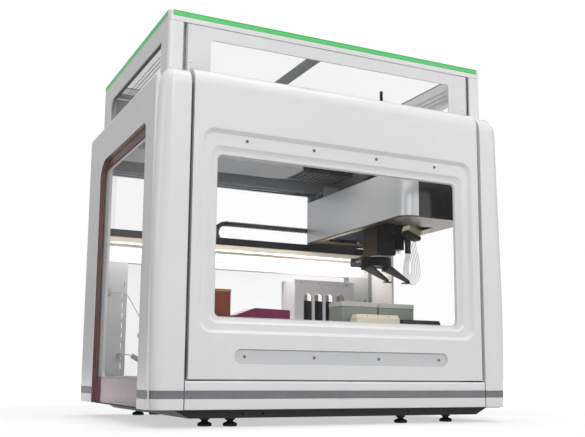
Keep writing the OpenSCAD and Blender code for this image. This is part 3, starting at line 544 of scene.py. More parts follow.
@dataclass(frozen=True)
class TintedPane(Finish):
    """Acrylic clear in the middle, deeply tinted over its frame, with painted shade darkening its skirt to the
    front.

    Attributes:
        low: Lower front corner of the clear middle, in Y and Z.
        high: Its upper rear corner.
        over: Colour over the frame.
        skirt: Colour of the skirt below the frame's opening, at the rear.
        skirt_front_painted_shade: The same at the front, darker: painted shade that deepens from the rear to
            the front.
        edge: Half the width of the soft edge round the clear middle.
        covered: How much the tinted part hides.
        clear: How much the clear middle hides.
    """

    low: Flat = (-0.27, 0.124)
    high: Flat = (0.3, 0.79)
    over: str = "#80605a"
    skirt: str = "#9c7080"
    skirt_front_painted_shade: str = "#693e41"
    edge: float = 0.002
    covered: float = 0.84
    clear: float = 0.012

    def wire(self, g: Graph, shader: Node) -> None:
        """Adds the band over the frame and the paler skirt below.

        Args:
            g: The material's graph.
            shader: Its Principled BSDF.
        """
        where = g.where()
        _, y, z = g.split(where)
        inside = g.times(g.within(y, self.low[0], self.high[0], self.edge),
                         g.within(z, self.low[1], self.high[1], self.edge))
        smear = g.noise(where, 7.0, 4.0)
        # Painted shade: the skirt's colour darkens from the rear to the front.
        below = g.mix(g.ramp(y, -0.24, 0.16), linear(self.skirt_front_painted_shade), linear(self.skirt))
        seam = g.ramp(z, self.low[1] - 2 * self.edge, self.low[1] + 2 * self.edge)
        tint = g.mix(seam, below, linear(self.over))
        g.feed(shader.inputs["Base Color"], g.mix(inside, tint, linear(self.colour)))
        body = g.ramp(inside, 0.0, 1.0, self.covered, self.clear)
        smeared = g.times(body, g.ramp(smear, 0.2, 0.8, 0.94, 1.06))
        g.feed(shader.inputs["Alpha"], g.plus(g.times(g.glancing(), 0.1), smeared))
        g.feed(shader.inputs["Roughness"], g.ramp(smear, 0.3, 0.8, 0.05, 0.09))


@dataclass(frozen=True)
class Opal(Moulded):
    """Milky sheet that lets some light through.

    Attributes:
        body: How much of what lies behind it stays hidden.
    """

    body: float = 0.5

    def wire(self, g: Graph, shader: Node) -> None:
        """Adds the grain and lets light through.

        Args:
            g: The material's graph.
            shader: Its Principled BSDF.
        """
        super().wire(g, shader)
        shader.inputs["Alpha"].default_value = self.body


@dataclass(frozen=True)
class RoofSheet(Moulded):
    """A moulded cap with a clear sheet let into its middle.

    Attributes:
        low: Left front corner of the clear sheet, in X and Y.
        high: Its right rear corner.
        level: Height above which it is clear.
    """

    low: Flat = (-0.479, -0.297)
    high: Flat = (0.479, 0.329)
    level: float = 1.1121

    def wire(self, g: Graph, shader: Node) -> None:
        """Adds the grain, and clears the middle.

        Args:
            g: The material's graph.
            shader: Its Principled BSDF.
        """
        super().wire(g, shader)
        x, y, z = g.split(g.where())
        edge = 0.0006
        inside = g.times(g.within(x, self.low[0], self.high[0], edge),
                         g.within(y, self.low[1], self.high[1], edge))
        flat = g.ramp(z, self.level - edge, self.level + 0.0004)
        sheet = g.plus(g.times(g.glancing(), 0.1), 0.015)
        g.feed(shader.inputs["Alpha"], g.ramp(g.times(inside, flat), 0.0, 1.0, 1.0, sheet))


@dataclass(frozen=True)
class Lit(Finish):
    """A diffuser that glows, deeper in colour towards its upper and lower edges.

    Attributes:
        edge: Colour at the edges.
        power: Strength of the glow.
        low: Height of the lower edge.
        high: Height of the upper edge.
    """

    edge: str = "#ffffff"
    power: float = 1.0
    low: float = 0.0
    high: float = 1.0

    def wire(self, g: Graph, shader: Node) -> None:
        """Adds the glow.

        Args:
            g: The material's graph.
            shader: Its Principled BSDF.
        """
        where = g.where()
        z = g.split(where)[2]
        span = self.high - self.low
        upper = g.ramp(z, self.high - span * 0.35, self.high - span * 0.1)
        rim = g.plus(upper, g.ramp(z, self.low + span * 0.12, self.low))
        mottle = g.ramp(g.noise(where, 40.0), 0.2, 0.8, 0.0, 0.12)
        tint = g.mix(g.plus(rim, mottle), linear(self.colour), linear(self.edge))
        g.feed(shader.inputs["Base Color"], tint)
        g.feed(shader.inputs["Emission Color"], tint)
        shader.inputs["Emission Strength"].default_value = self.power


@dataclass(frozen=True)
class Pleated(Finish):
    """Filter medium or ribbed rubber, with fine fibres.

    Attributes:
        pitch: How fine the fibres are, per metre.
    """

    pitch: float = 300.0

    def wire(self, g: Graph, shader: Node) -> None:
        """Adds the fibres.

        Args:
            g: The material's graph.
            shader: Its Principled BSDF.
        """
        shader.inputs["Sheen Weight"].default_value = 0.2
        group = g.group(grain_group(), Scale=self.pitch)
        self.vary(g, shader, group, spread=0.12, gloss=0.05, height=0.5, distance=0.0006)


WHITE = Moulded("white_shell", "#f0f0f0", 0.32, coat=0.35, grain=1100.0, height=0.06, wear=0.08)
PANEL = Moulded("white_panel", "#ebebec", 0.4, coat=0.1, grain=700.0, height=0.1, dust=0.05)
OPAL = Opal("opal_panel", "#f6f6f7", 0.4, grain=700.0, height=0.08, body=0.07)
PALE = Moulded("pale_frame", "#d9d7d8", 0.42, grain=700.0, height=0.1)
GREY = Moulded("grey_sheet", "#c3c5c8", 0.45, grain=600.0, height=0.14, wear=0.2, dust=0.06)
LILAC = Moulded("lilac_sheet", "#d2ced2", 0.4, grain=500.0, height=0.12, wear=0.15)
STEEL_GREY = Moulded("grey_frame", "#9a9da1", 0.45, grain=500.0, height=0.15, wear=0.2)
GRIP = Moulded("grip_plastic", "#d6d7d9", 0.5, grain=1500.0, height=0.35)
BLACK_COAT = Moulded("black_powder_coat", "#0b0b0a", 0.5, grain=1400.0, height=0.5, wear=0.25)
BLACK = Moulded("black_plastic", "#191817", 0.42, grain=900.0, height=0.2, wear=0.15)
PALE_SEAL = Moulded("pale_seal", "#b4b5b7", 0.6, grain=500.0, height=0.2)
# Grey of the strips beside the posts and at the trim's ends: painted shade standing for the dark gaps there.
GAP_SHADE = Moulded("grey_seal", "#7c7d7f", 0.7, grain=500.0, height=0.3)
FOOT = Moulded("foot_rubber", "#161616", 0.75, grain=700.0, height=0.4, dust=0.12)
SMOKED = Moulded("smoked_cap", "#151210", 0.2, coat=0.5, grain=600.0, height=0.04)
BLUE_GREY = Moulded("blue_grey_paint", "#8891a0", 0.45, grain=600.0, height=0.15, wear=0.3)
BROWN = Moulded("brown_box", "#702c0e", 0.5, grain=800.0, height=0.25)
BROWN_LID = Moulded("brown_lid", "#a5693f", 0.45, grain=800.0, height=0.2)
MAGENTA = Moulded("magenta_tray", "#720343", 0.25, coat=0.3, grain=500.0, height=0.08)
RED_MAGENTA = Moulded("magenta_side", "#8c2b55", 0.3, coat=0.2, grain=500.0, height=0.08)
RACK = Moulded("rack_plastic", "#868b86", 0.5, grain=900.0, height=0.2)
RACK_LID = Moulded("rack_lid", "#b9bab3", 0.45, grain=900.0, height=0.2)
CREAM = Moulded("cream_plastic", "#e6e1c8", 0.45, grain=900.0, height=0.15)
MANIFOLD = Moulded("manifold", "#cfc2a6", 0.4, grain=800.0, height=0.12, wear=0.2)
SENSOR = Moulded("sensor_box", "#a5a8aa", 0.5, grain=900.0, height=0.2)
CHAIN = Moulded("chain_plastic", "#2b2a29", 0.48, grain=900.0, height=0.2, wear=0.35)
ANODISED = Metal("satin_anodised", "#c6c8cc", 0.38, lines=Axis.Y)
COVER = Metal("brushed_cover", "#d3d5d8", 0.34, lines=Axis.Y, metallic=0.7, height=0.015, gloss=0.02,
              tone=0.02)
BRONZE = Metal("champagne_sheet", "#6a5f4a", 0.34, lines=Axis.Y)
BRONZE_COLUMN = Metal("bronze_column", "#453d33", 0.34, lines=Axis.Z)
RAIL = Metal("ground_rail", "#b3b6ba", 0.25, lines=Axis.X)
STRIPE = Metal("brushed_stripe", "#808285", 0.42, lines=Axis.X)
SCREW = Metal("dark_screw", "#7b7d80", 0.35, lines=Axis.Z)
STEEL = Metal("needle_steel", "#d0d2d4", 0.22, lines=Axis.Z)
DARK_METAL = Metal("black_oxide", "#3a3b3d", 0.42, lines=Axis.X)
BLACK_METAL = Metal("black_anodised", "#222120", 0.36, lines=Axis.Z, metallic=0.7)
CLEAR = Pane("clear_pane", "#f4f7f8", 0.02, body=0.01, slant=0.15)
DOOR_GLASS = Pane("door_glass", "#f4f7f8", 0.02, body=0.008, slant=0.35)
ACRYLIC = TintedPane("tinted_acrylic", "#f6f2f2", 0.06)
REVEAL = Moulded("brown_reveal", "#7b5a52", 0.3, coat=0.3, grain=700.0, height=0.06)
ROOF = RoofSheet("roof_shell", "#eeeeee", 0.32, coat=0.35, grain=1100.0, height=0.06)
GREEN = Lit("status_light", "#55bd6d", 0.4, edge="#16a03e", power=0.3, low=1.105, high=1.12)
LED = Lit("light_diffuser", "#efe6da", 0.5, edge="#ecdcc0", power=0.22, low=0.568, high=0.592)
FILTER = Pleated("filter_medium", "#4b4c4e", 0.9)
DUCT = Pleated("ribbed_duct", "#262627", 0.8)
TUBE = Moulded("clear_tube", "#6a5f58", 0.25, coat=0.3, grain=400.0, height=0.04)
LEAD = Moulded("pale_lead", "#b9bbbd", 0.5, grain=800.0, height=0.1)


# ---------------------------------------------------------------- making pieces


def place(piece: Piece, body: str, finish: Finish | None = None) -> Piece:
    """Puts a finished mesh on its body.

    Args:
        piece: The object.
        body: The body that it rides on.
        finish: The finish, if it has none yet.

    Returns:
        The same object.
    """
    if finish is not None:
        piece.data.materials.clear()
        piece.data.materials.append(finish.material())
    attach(piece, body)
    log.info("%s rides on %s", piece.name, body)
    return piece


def as_object(name: str, data: bpy.types.ID) -> Piece:
    """Links a new object with that mesh, curve, camera or light to the scene.

    Args:
        name: The object's name.
        data: What it shows.

    Returns:
        The object.
    """
    made = bpy.data.objects.new(name, data)
    bpy.context.scene.collection.objects.link(made)
    return made


def from_bmesh(name: str, work: BMesh) -> Piece:
    """Makes a smoothly shaded object of a bmesh, and frees it.

    Args:
        name: The object's name.
        work: Its shape.

    Returns:
        The object.
    """
    mesh = bpy.data.meshes.new(name)
    work.to_mesh(mesh)
    work.free()
    mesh.shade_smooth()
    mesh.set_sharp_from_angle(angle=math.radians(32))
    return as_object(name, mesh)


def rounded(piece: Piece, width: float, segments: int = 2, angle: float = 30.0,
            weighted: bool = False) -> Piece:
    """Gives a piece real rounded edges and clean shading.

    Args:
        piece: The object.
        width: Width of the rounding, in metres.
        segments: Faces across it.
        angle: Edges sharper than this are rounded, in degrees.
        weighted: Rounds the edges that carry a bevel weight instead.

    Returns:
        The same object.
    """
    edges = piece.modifiers.new("edges", "BEVEL")
    edges.width, edges.segments, edges.limit_method = width, segments, "WEIGHT" if weighted else "ANGLE"
    edges.angle_limit, edges.use_clamp_overlap = math.radians(angle), False
    edges.miter_outer = "MITER_ARC" if segments > 2 else "MITER_SHARP"
    shade = piece.modifiers.new("shading", "WEIGHTED_NORMAL")
    shade.weight, shade.keep_sharp = 60, False
    return piece


def dressed(node: str, finish: Finish, width: float = 0.0006, segments: int = 2,
            parts: Sequence[tuple[FaceTest, Finish]] = (), angle: float = 30.0,
            crisp: PlaceTest | None = None, drop: PlaceTest | None = None) -> Piece:
    """Replaces a CAD node by a copy with rounded edges and its finish.

    Args:
        node: The node's name.
        finish: Its main finish.
        width: Width of the rounded edges; 0 leaves them sharp.
        segments: Faces across each rounding.
        parts: Tests on a face's centre and normal, with the finish where each holds.
        angle: Edges sharper than this are rounded.
        crisp: Tells which edges stay sharp, by their middle.
        drop: Tells which faces are left to other pieces, by their centre.

    Returns:
        The piece.
    """
    source = frame["nodes"][node]
    work = bmesh.new()
    work.from_mesh(source.data)
    work.transform(source.matrix_world)
    bmesh.ops.remove_doubles(work, verts=work.verts, dist=2e-6)
    bmesh.ops.dissolve_degenerate(work, edges=work.edges, dist=1e-6)
    bmesh.ops.dissolve_limit(work, angle_limit=math.radians(0.6), verts=work.verts, edges=work.edges,
                             delimit={"NORMAL"})
    if drop is not None:
        bmesh.ops.delete(work, geom=[f for f in work.faces if drop(f.calc_center_median())], context="FACES")
    if crisp is not None:
        weight = work.edges.layers.float.new("bevel_weight_edge")
        for edge in work.edges:
            bent = len(edge.link_faces) == 2 and edge.calc_face_angle(0.0) > math.radians(angle)
            edge[weight] = float(bent and not crisp((edge.verts[0].co + edge.verts[1].co) / 2))
    mesh = bpy.data.meshes.new(f"{node}_piece")
    work.to_mesh(mesh)
    work.free()
    mesh.shade_smooth()
    mesh.materials.append(finish.material())
    for number, (test, other) in enumerate(parts, start=1):
        mesh.materials.append(other.material())
        for face in mesh.polygons:
            if test(face.center, face.normal):
                face.material_index = number
    piece = as_object(f"{node}_piece", mesh)
    if width > 0:
        rounded(piece, width, segments, angle, crisp is not None)
    else:
        mesh.set_sharp_from_angle(angle=math.radians(angle))
    place(piece, BODY_OF[node])
    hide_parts(node)
    return piece


def within_box(*boxes: Box) -> FaceTest:
    """Returns a test on faces of a node, by where they lie.

    Args:
        *boxes: Left front lower corner and right rear upper corner of each box.

    Returns:
        A test that holds where a face's centre is in one of the boxes.
    """
    return lambda centre, _: any(all(a < at < b for a, at, b in zip(low, centre, high)) for low, high in boxes)


def block(work: BMesh, low: Point, high: Point) -> None:
    """Adds a box from one corner to the opposite one.

    Args:
        work: The shape that it is added to.
        low: Its left, front, lower corner.
        high: Its right, rear, upper corner.
    """
    size = Vector(high) - Vector(low)
    made = bmesh.ops.create_cube(work, size=1.0)
    matrix = Matrix.Translation((Vector(low) + Vector(high)) / 2) @ Matrix.Diagonal((*size, 1.0))
    bmesh.ops.transform(work, matrix=matrix, verts=made["verts"])


def mirrored_blocks(name: str, blocks: Spots, finish: Finish) -> Piece:
    """Makes boxes on the right and their mirror images on the left, for seals and for strips of painted shade.

    Args:
        name: The piece's name.
        blocks: Two opposite corners of each box on the right.
        finish: The boxes' finish.

    Returns:
        The piece.
    """
    work = bmesh.new()
    for side in (-1, 1):
        for low, high in blocks:
            x = sorted((side * low[0], side * high[0]))
            block(work, (x[0], *low[1:]), (x[1], *high[1:]))
    return place(from_bmesh(name, work), "frame", finish)


def rounded_rectangle(low: Flat, high: Flat, radius: float, steps: int = 8) -> list[Flat]:
    """Points of a rectangle with round corners, anticlockwise from its lower right corner.

    Args:
        low: Its lower left corner.
        high: Its upper right corner.
        radius: Radius of its corners.
        steps: Edges in each corner.

    Returns:
        The points.
    """
    points = []
    for sx, sz, start in ((1, -1, -90), (1, 1, 0), (-1, 1, 90), (-1, -1, 180)):
        cx = (high[0] if sx > 0 else low[0]) - sx * radius
        cz = (high[1] if sz > 0 else low[1]) - sz * radius
        for i in range(steps + 1):
            a = math.radians(start + 90 * i / steps)
            points.append((cx + radius * math.cos(a), cz + radius * math.sin(a)))
    return points


def ring_piece(name: str, outer: list[Flat], inner: list[Flat], y0: float, y1: float) -> Piece:
    """Makes a flat ring between two outlines in X and Z, from y0 back to y1.

    Args:
        name: The object's name.
        outer: Its outer outline.
        inner: Its inner outline, with as many points.
        y0: Its front.
        y1: Its back.

    Returns:
        The object.
    """
    work = bmesh.new()
    corners = ((outer, y0), (outer, y1), (inner, y1), (inner, y0))
    loops = [[work.verts.new((x, y, z)) for x, z in line] for line, y in corners]
    count = len(outer)
    for k in range(4):
        a, b = loops[k], loops[(k + 1) % 4]
        for i in range(count):
            j = (i + 1) % count
            work.faces.new((a[i], a[j], b[j], b[i]))
    bmesh.ops.recalc_face_normals(work, faces=work.faces)
    return from_bmesh(name, work)


class Repeater:
    """Geometry Nodes that put a small shape on points or along a path."""

    def __init__(self, name: str) -> None:
        """Starts a tree with a geometry input and output.

        Args:
            name: The tree's name.
        """
        self.tree = bpy.data.node_groups.new(name, "GeometryNodeTree")
        self.tree.interface.new_socket("Geometry", in_out="INPUT", socket_type="NodeSocketGeometry")
        self.tree.interface.new_socket("Geometry", in_out="OUTPUT", socket_type="NodeSocketGeometry")
        self.graph = Graph(self.tree)
        self.entry: Node | None = None

    def inputs(self, **sizes: float) -> Node:
        """Adds named number inputs, and returns the input node.

        Args:
            **sizes: Each input, with _ for a space, and its usual value.

        Returns:
            The input node.
        """
        for name, value in sizes.items():
            label = name.replace("_", " ")
            made = self.tree.interface.new_socket(label, in_out="INPUT", socket_type="NodeSocketFloat")
            made.default_value = value
        self.tree.interface.new_socket("Finish", in_out="INPUT", socket_type="NodeSocketMaterial")
        self.entry = self.graph.add("NodeGroupInput")
        return self.entry

    def close(self, geometry: Socket) -> None:
        """Ends the tree with Realize Instances and Set Material.

        Args:
            geometry: What the tree made.
        """
        real = self.graph.add("GeometryNodeRealizeInstances", {0: geometry})
        dressing = {"Geometry": real.outputs[0], "Material": self.entry.outputs["Finish"]}
        done = self.graph.add("GeometryNodeSetMaterial", dressing)
        leave = self.graph.add("NodeGroupOutput")
        self.tree.links.new(done.outputs[0], leave.inputs[0])

    def run(self, name: str, host: Piece, finish: Finish, **sizes: float) -> Piece:
        """Runs the tree on a host mesh and keeps the result as a plain mesh.

        Args:
            name: The new piece's name.
            host: The object with the points or path; it is removed.
            finish: The finish of the repeated shape.
            **sizes: Values for the named inputs.

        Returns:
            The plain object.
        """
        modifier = host.modifiers.new("repeat", "NODES")
        modifier.node_group = self.tree
        for item in self.tree.interface.items_tree:
            if item.item_type == "SOCKET" and item.in_out == "INPUT":
                if item.name == "Finish":
                    modifier[item.identifier] = finish.material()
                elif item.name.replace(" ", "_") in sizes:
                    modifier[item.identifier] = float(sizes[item.name.replace(" ", "_")])
        solved = host.evaluated_get(bpy.context.evaluated_depsgraph_get())
        mesh = bpy.data.meshes.new_from_object(solved)
        mesh.name = name
        old = host.data
        bpy.data.objects.remove(host)
        if isinstance(old, bpy.types.Mesh):
            bpy.data.meshes.remove(old)
        mesh.shade_smooth()
        mesh.set_sharp_from_angle(angle=math.radians(35))
        return as_object(name, mesh)


def screw_tree() -> Repeater:
    """A button-head screw with a socket, on points that know which way they face."""
    made = Repeater("screw_heads")
    entry = made.inputs(Head_Radius=0.004, Head_Height=0.002)
    g = made.graph
    radius, height = entry.outputs["Head Radius"], entry.outputs["Head Height"]

    def raised(shape: Node, lift: float) -> Socket:
        """Moves a shape up by a share of the head's height."""
        up = g.join(z=g.times(height, lift))
        return g.add("GeometryNodeTransform", {"Geometry": shape.outputs[0], "Translation": up}).outputs[0]

    disc = g.add("GeometryNodeMeshCylinder", {"Vertices": 20, "Radius": radius,
                                              "Depth": g.times(height, 0.6)})
    dome = g.add("GeometryNodeMeshCone", {"Vertices": 20, "Radius Top": g.times(radius, 0.72),
                                          "Radius Bottom": radius, "Depth": g.times(height, 0.4)})
    ring = g.add("GeometryNodeMeshCylinder", {"Vertices": 6, "Radius": g.times(radius, 0.42),
                                              "Depth": g.times(height, 0.24)})
    join = g.add("GeometryNodeJoinGeometry")
    for shape, lift in ((disc, 0.3), (dome, 0.6), (ring, 1.0)):
        g.tree.links.new(raised(shape, lift), join.inputs[0])
    facing = g.add("GeometryNodeInputNamedAttribute", {"Name": "facing"}, data_type="FLOAT_VECTOR").outputs[0]
    turn = g.add("FunctionNodeAlignRotationToVector", {"Vector": facing}, axis="Z")
    made.close(g.repeated(entry.outputs["Geometry"], join, turn))
    return made


def chain_tree() -> Repeater:
    """Links of an energy chain, spaced along a path that lies in an XZ plane."""
    made = Repeater("chain_links")
    entry = made.inputs(Pitch=0.015, Width=0.022, Height=0.015)
    g = made.graph
    pitch, width, height = (entry.outputs[n] for n in ("Pitch", "Width", "Height"))

    def plate(long: object, wide: object, high: object, shift: tuple) -> Socket:
        """One bar or side plate of a link.

        Args:
            long: Its length.
            wide: Its width.
            high: Its height.
            shift: Its middle, from the link's own.

        Returns:
            The box.
        """
        cube = g.add("GeometryNodeMeshCube", {"Size": g.join(long, wide, high)})
        moved = {"Geometry": cube.outputs[0], "Translation": g.join(*shift)}
        return g.add("GeometryNodeTransform", moved).outputs[0]

    join = g.add("GeometryNodeJoinGeometry")
    half = g.times(width, 0.44)
    for side in (1.0, -1.0):
        at = g.times(half, side)
        for part in (plate(g.times(pitch, 0.78), g.times(width, 0.12), height, (0.0, at, 0.0)),
                     plate(g.times(pitch, 1.02), g.times(width, 0.09), g.times(height, 0.66),
                           (0.0, g.times(at, 0.8), 0.0))):
            g.tree.links.new(part, join.inputs[0])
        bar = plate(g.times(pitch, 0.34), g.times(width, 0.78), g.times(height, 0.1),
                    (0.0, 0.0, g.times(height, 0.45 * side)))
        g.tree.links.new(bar, join.inputs[0])
    curve = g.add("GeometryNodeMeshToCurve", {0: entry.outputs["Geometry"]}).outputs[0]
    even = g.add("GeometryNodeResampleCurve", {"Curve": curve, "Length": pitch}, mode="LENGTH")
    points = g.add("GeometryNodeCurveToPoints", {"Curve": even.outputs[0]}, mode="EVALUATED")
    turn = g.add("FunctionNodeAlignRotationToVector", {"Vector": points.outputs["Tangent"]},
                 axis="X", pivot_axis="Y")
    made.close(g.repeated(points.outputs[0], join, turn))
    return made


def point_host(spots: Spots) -> Piece:
    """Makes a mesh of points that carry the way they face.

    Args:
        spots: Each point, and the way it faces.

    Returns:
        The object.
    """
    mesh = bpy.data.meshes.new("spots")
    mesh.from_pydata([tuple(p) for p, _ in spots], [], [])
    facing = mesh.attributes.new("facing", "FLOAT_VECTOR", "POINT")
    for i, (_, way) in enumerate(spots):
        facing.data[i].vector = way
    return as_object("spots", mesh)


def path_host(points: Sequence[Point]) -> Piece:
    """Makes a mesh of edges along a path.

    Args:
        points: The path.

    Returns:
        The object.
    """
    mesh = bpy.data.meshes.new("path")
    mesh.from_pydata([tuple(p) for p in points], [(i, i + 1) for i in range(len(points) - 1)], [])
    return as_object("path", mesh)


def screws(name: str, body: str, finish: Finish, spots: Spots, radius: float, height: float) -> Piece:
    """Puts screw heads on a body.

    Args:
        name: The piece's name.
        body: The body that it rides on.
        finish: The screws' finish.
        spots: Where each head sits, and the way it faces.
        radius: Radius of a head.
        height: Its height.

    Returns:
        The piece.
    """
    made = screw_tree().run(name, point_host(spots), finish, Head_Radius=radius, Head_Height=height)
    return place(made, body)


def cord_piece(name: str, points: Sequence[Point], body: str, finish: Finish,
               thick: float) -> Piece:
    """Makes a cord of its real length along a path.

    Args:
        name: The piece's name.
        points: Its path, from where it leaves its fitting.
        body: The body that it rides on.
        finish: Its finish.
        thick: Its diameter.

    Returns:
        The piece.
    """
    curve = bpy.data.curves.new(name, "CURVE")
    curve.dimensions, curve.use_fill_caps = "3D", True
    curve.bevel_depth, curve.bevel_resolution = thick / 2, 2
    line = curve.splines.new("POLY")
    line.points.add(len(points) - 1)
    for spot, p in zip(line.points, points):
        spot.co = (*p, 1.0)
    curve.materials.append(finish.material())
    piece = place(as_object(name, curve), body)
    return piece


def eased(points: Sequence[Point], steps: int = 6) -> list[Vector]:
    """Returns a smooth path through the points.

    Args:
        points: The points.
        steps: Edges between two of them.

    Returns:
        The path.
    """
    spots = [Vector(p) for p in points]
    spots = [2 * spots[0] - spots[1], *spots, 2 * spots[-1] - spots[-2]]
    path = [spots[1]]
    for a, b, c, d in zip(spots, spots[1:], spots[2:], spots[3:]):
        for i in range(1, steps + 1):
            t = i / steps
            path.append(0.5 * (2 * b + (c - a) * t + (2 * a - 5 * b + 4 * c - d) * t * t
                               + (3 * b - a - 3 * c + d) * t ** 3))
    return path


# ---------------------------------------------------------------- sub-assemblies


@dataclass
class Base:
    """The tray, its feet, the deck plate, the trim and the stripe.

    Attributes:
        front: The base's front, in Y.
        trim_half: Half the trim's width.
    """

    front: float = -0.405
    trim_half: float = 0.47

    def build(self) -> None:
        """Dresses the nodes and adds the trim's shadow seam."""
        dressed("base_chassis", BLACK_COAT, 0.0008)
        dressed("levelling_feet", FOOT, 0.0008)
        dressed("deck_plate", ANODISED, 0.0006)
        dressed("front_trim", WHITE, 0.0018, 3)
        dressed("accent_stripes", STRIPE, 0.0003)
        self.end_seams()

    def end_seams(self) -> None:
        """Thin dark strips of painted shade where the trim meets the posts."""
        # Box of the strip of painted shade in the seam.
        seal = ((self.trim_half + 0.0002, self.front + 0.003, 0.047),
                (self.trim_half + 0.0028, -0.383, 0.116))
        mirrored_blocks("trim_end_seals", [seal], GAP_SHADE)


@dataclass
class Shell:
    """Corner posts, side panels, inner frames and tinted windows.

    Attributes:
        outer: The side panels' own openings lie beyond this X.
        low: Lower front corner of an opening, in Y and Z.
        high: Its upper rear corner.
    """

    outer: float = 0.545
    low: Flat = (-0.283, 0.1)
    high: Flat = (0.243, 0.816)

    def build(self) -> None:
        """Dresses the shells."""
        for side in ("left", "right"):
            dressed(f"{side}_corner_post", WHITE, 0.0009, 2, angle=38.0)
            dressed(f"{side}_side_panel", WHITE, 0.0016, 3, parts=[(self.reveal, REVEAL)])
        dressed("inner_frames", PALE, 0.001)
        dressed("side_windows", ACRYLIC, 0.0)
        self.post_seals()
        self.window_screws()

    def reveal(self, centre: Vector, normal: Vector) -> bool:
        """Whether a face of a side panel lines its window opening.

        Args:
            centre: The face's centre.
            normal: Its normal.

        Returns:
            True where it does.
        """
        across = self.low[0] < centre.y < self.high[0]
        upright = self.low[1] < centre.z < self.high[1]
        return abs(normal.x) < 0.3 and abs(centre.x) > self.outer and across and upright

    def post_seals(self) -> None:
        """Dark grey strips of painted shade in the grooves beside each post."""
        # Painted shade: grey blocks in the gaps by the door and by the side panel.
        by_door = ((0.4665, -0.39, 0.05), (0.4728, -0.362, 0.905))
        by_panel = ((0.5302, -0.3705, 0.05), (0.5425, -0.352, 0.915))
        mirrored_blocks("post_seals", [by_door, by_panel], GAP_SHADE)

    def window_screws(self) -> None:
        """Fixings of the inner frames, seen from inside."""
        spots = [((side * 0.5299, y, z), (-side, 0.0, 0.0))
                 for side in (-1, 1) for y in (-0.3, 0.22) for z in (0.2, 0.5, 0.8)]
        screws("frame_screws", "frame", STEEL, spots, 0.0035, 0.0018)


@dataclass
class Rear:
    """The rear panel and what the bridge runs on.

    Attributes:
        screw_rows: Heights of the rear panel's screws.
        inlet: Box round the mains inlet.
        round_sockets: Box round the row of round sockets.
        sensor_floor: Below this height the sensor's leads and adapter are pieces of their own.
    """

    screw_rows: tuple[float, ...] = (0.2, 0.34, 0.48, 0.85)
    inlet: Box = ((-FAR, -FAR, 0.172), (0.25, FAR, 0.212))
    round_sockets: Box = ((0.31, -FAR, 0.172), (FAR, FAR, 0.212))
    sensor_floor: float = 0.3919

    def build(self) -> None:
        """Dresses the rear wall, its plate, beam, rails and light."""
        dressed("rear_panel", OPAL, 0.0007)
        dressed("rear_window", CLEAR, 0.0)
        dressed("service_plate", GREY, 0.0005, parts=[(within_box(self.inlet, self.round_sockets), BLACK)])
        dressed("power_switch", BLACK, 0.0006)
        dressed("rear_columns", GREY, 0.0006)
        dressed("rear_beam", PANEL, 0.001)
        dressed("x_rails", RAIL, 0.0003)
        dressed("light_bar", LED, 0.0)
        dressed("chain_tray", DARK_METAL, 0.0003)
        dressed("side_sensor", SENSOR, 0.0004, drop=lambda c: c.z < self.sensor_floor)
        self.fixings()
        self.sensor_lead()

    def sensor_lead(self) -> None:
        """The lead of the side sensor, its in-line adapter and its socket on the column."""
        work = bmesh.new()
        block(work, (-0.458, 0.331, 0.188), (-0.4455, 0.3448, 0.203))
        box = bmesh.ops.create_cube(work, size=1.0)["verts"]
        turned = Matrix.Translation((-0.398, 0.33, 0.1866)) @ Matrix.Rotation(math.radians(30), 4, "Y")
        lay = turned @ Matrix.Diagonal((0.031, 0.012, 0.015, 1.0))
        bmesh.ops.transform(work, matrix=lay, verts=box)
        place(rounded(from_bmesh("lead_adapter", work), 0.0012, 3), "frame", SENSOR)
        hanging = [(-0.49, 0.338, 0.403), (-0.46, 0.334, 0.4045), (-0.436, 0.331, 0.3985),
                   (-0.4127, 0.33, 0.3631), (-0.3871, 0.33, 0.3204), (-0.3705, 0.33, 0.282),
                   (-0.3625, 0.33, 0.235), (-0.3612, 0.33, 0.195), (-0.366, 0.33, 0.1725),
                   (-0.376, 0.33, 0.1735), (-0.3848, 0.33, 0.179)]
        cord_piece("sensor_lead", eased(hanging), "frame", LEAD, 0.0032)
        short = [(-0.4112, 0.33, 0.1943), (-0.426, 0.3305, 0.1985), (-0.446, 0.337, 0.1965)]
        cord_piece("socket_lead", short, "frame", LEAD, 0.0032)

    def fixings(self) -> None:
        """Screws of the rear panel, the service plate and the beam."""
        back = [((x, 0.397, z), BACK) for x in (-0.53, 0.53) for z in self.screw_rows]
        back += [((x, 0.4, z), BACK) for x in (0.19, 0.45) for z in (0.148, 0.302)]
        screws("rear_screws", "frame", STEEL, back, 0.0045, 0.0022)
        beam = [((x * 0.1, 0.345, 0.53), FRONT) for x in range(-5, 6, 2)]
        screws("beam_screws", "frame", STEEL, beam, 0.0032, 0.0016)


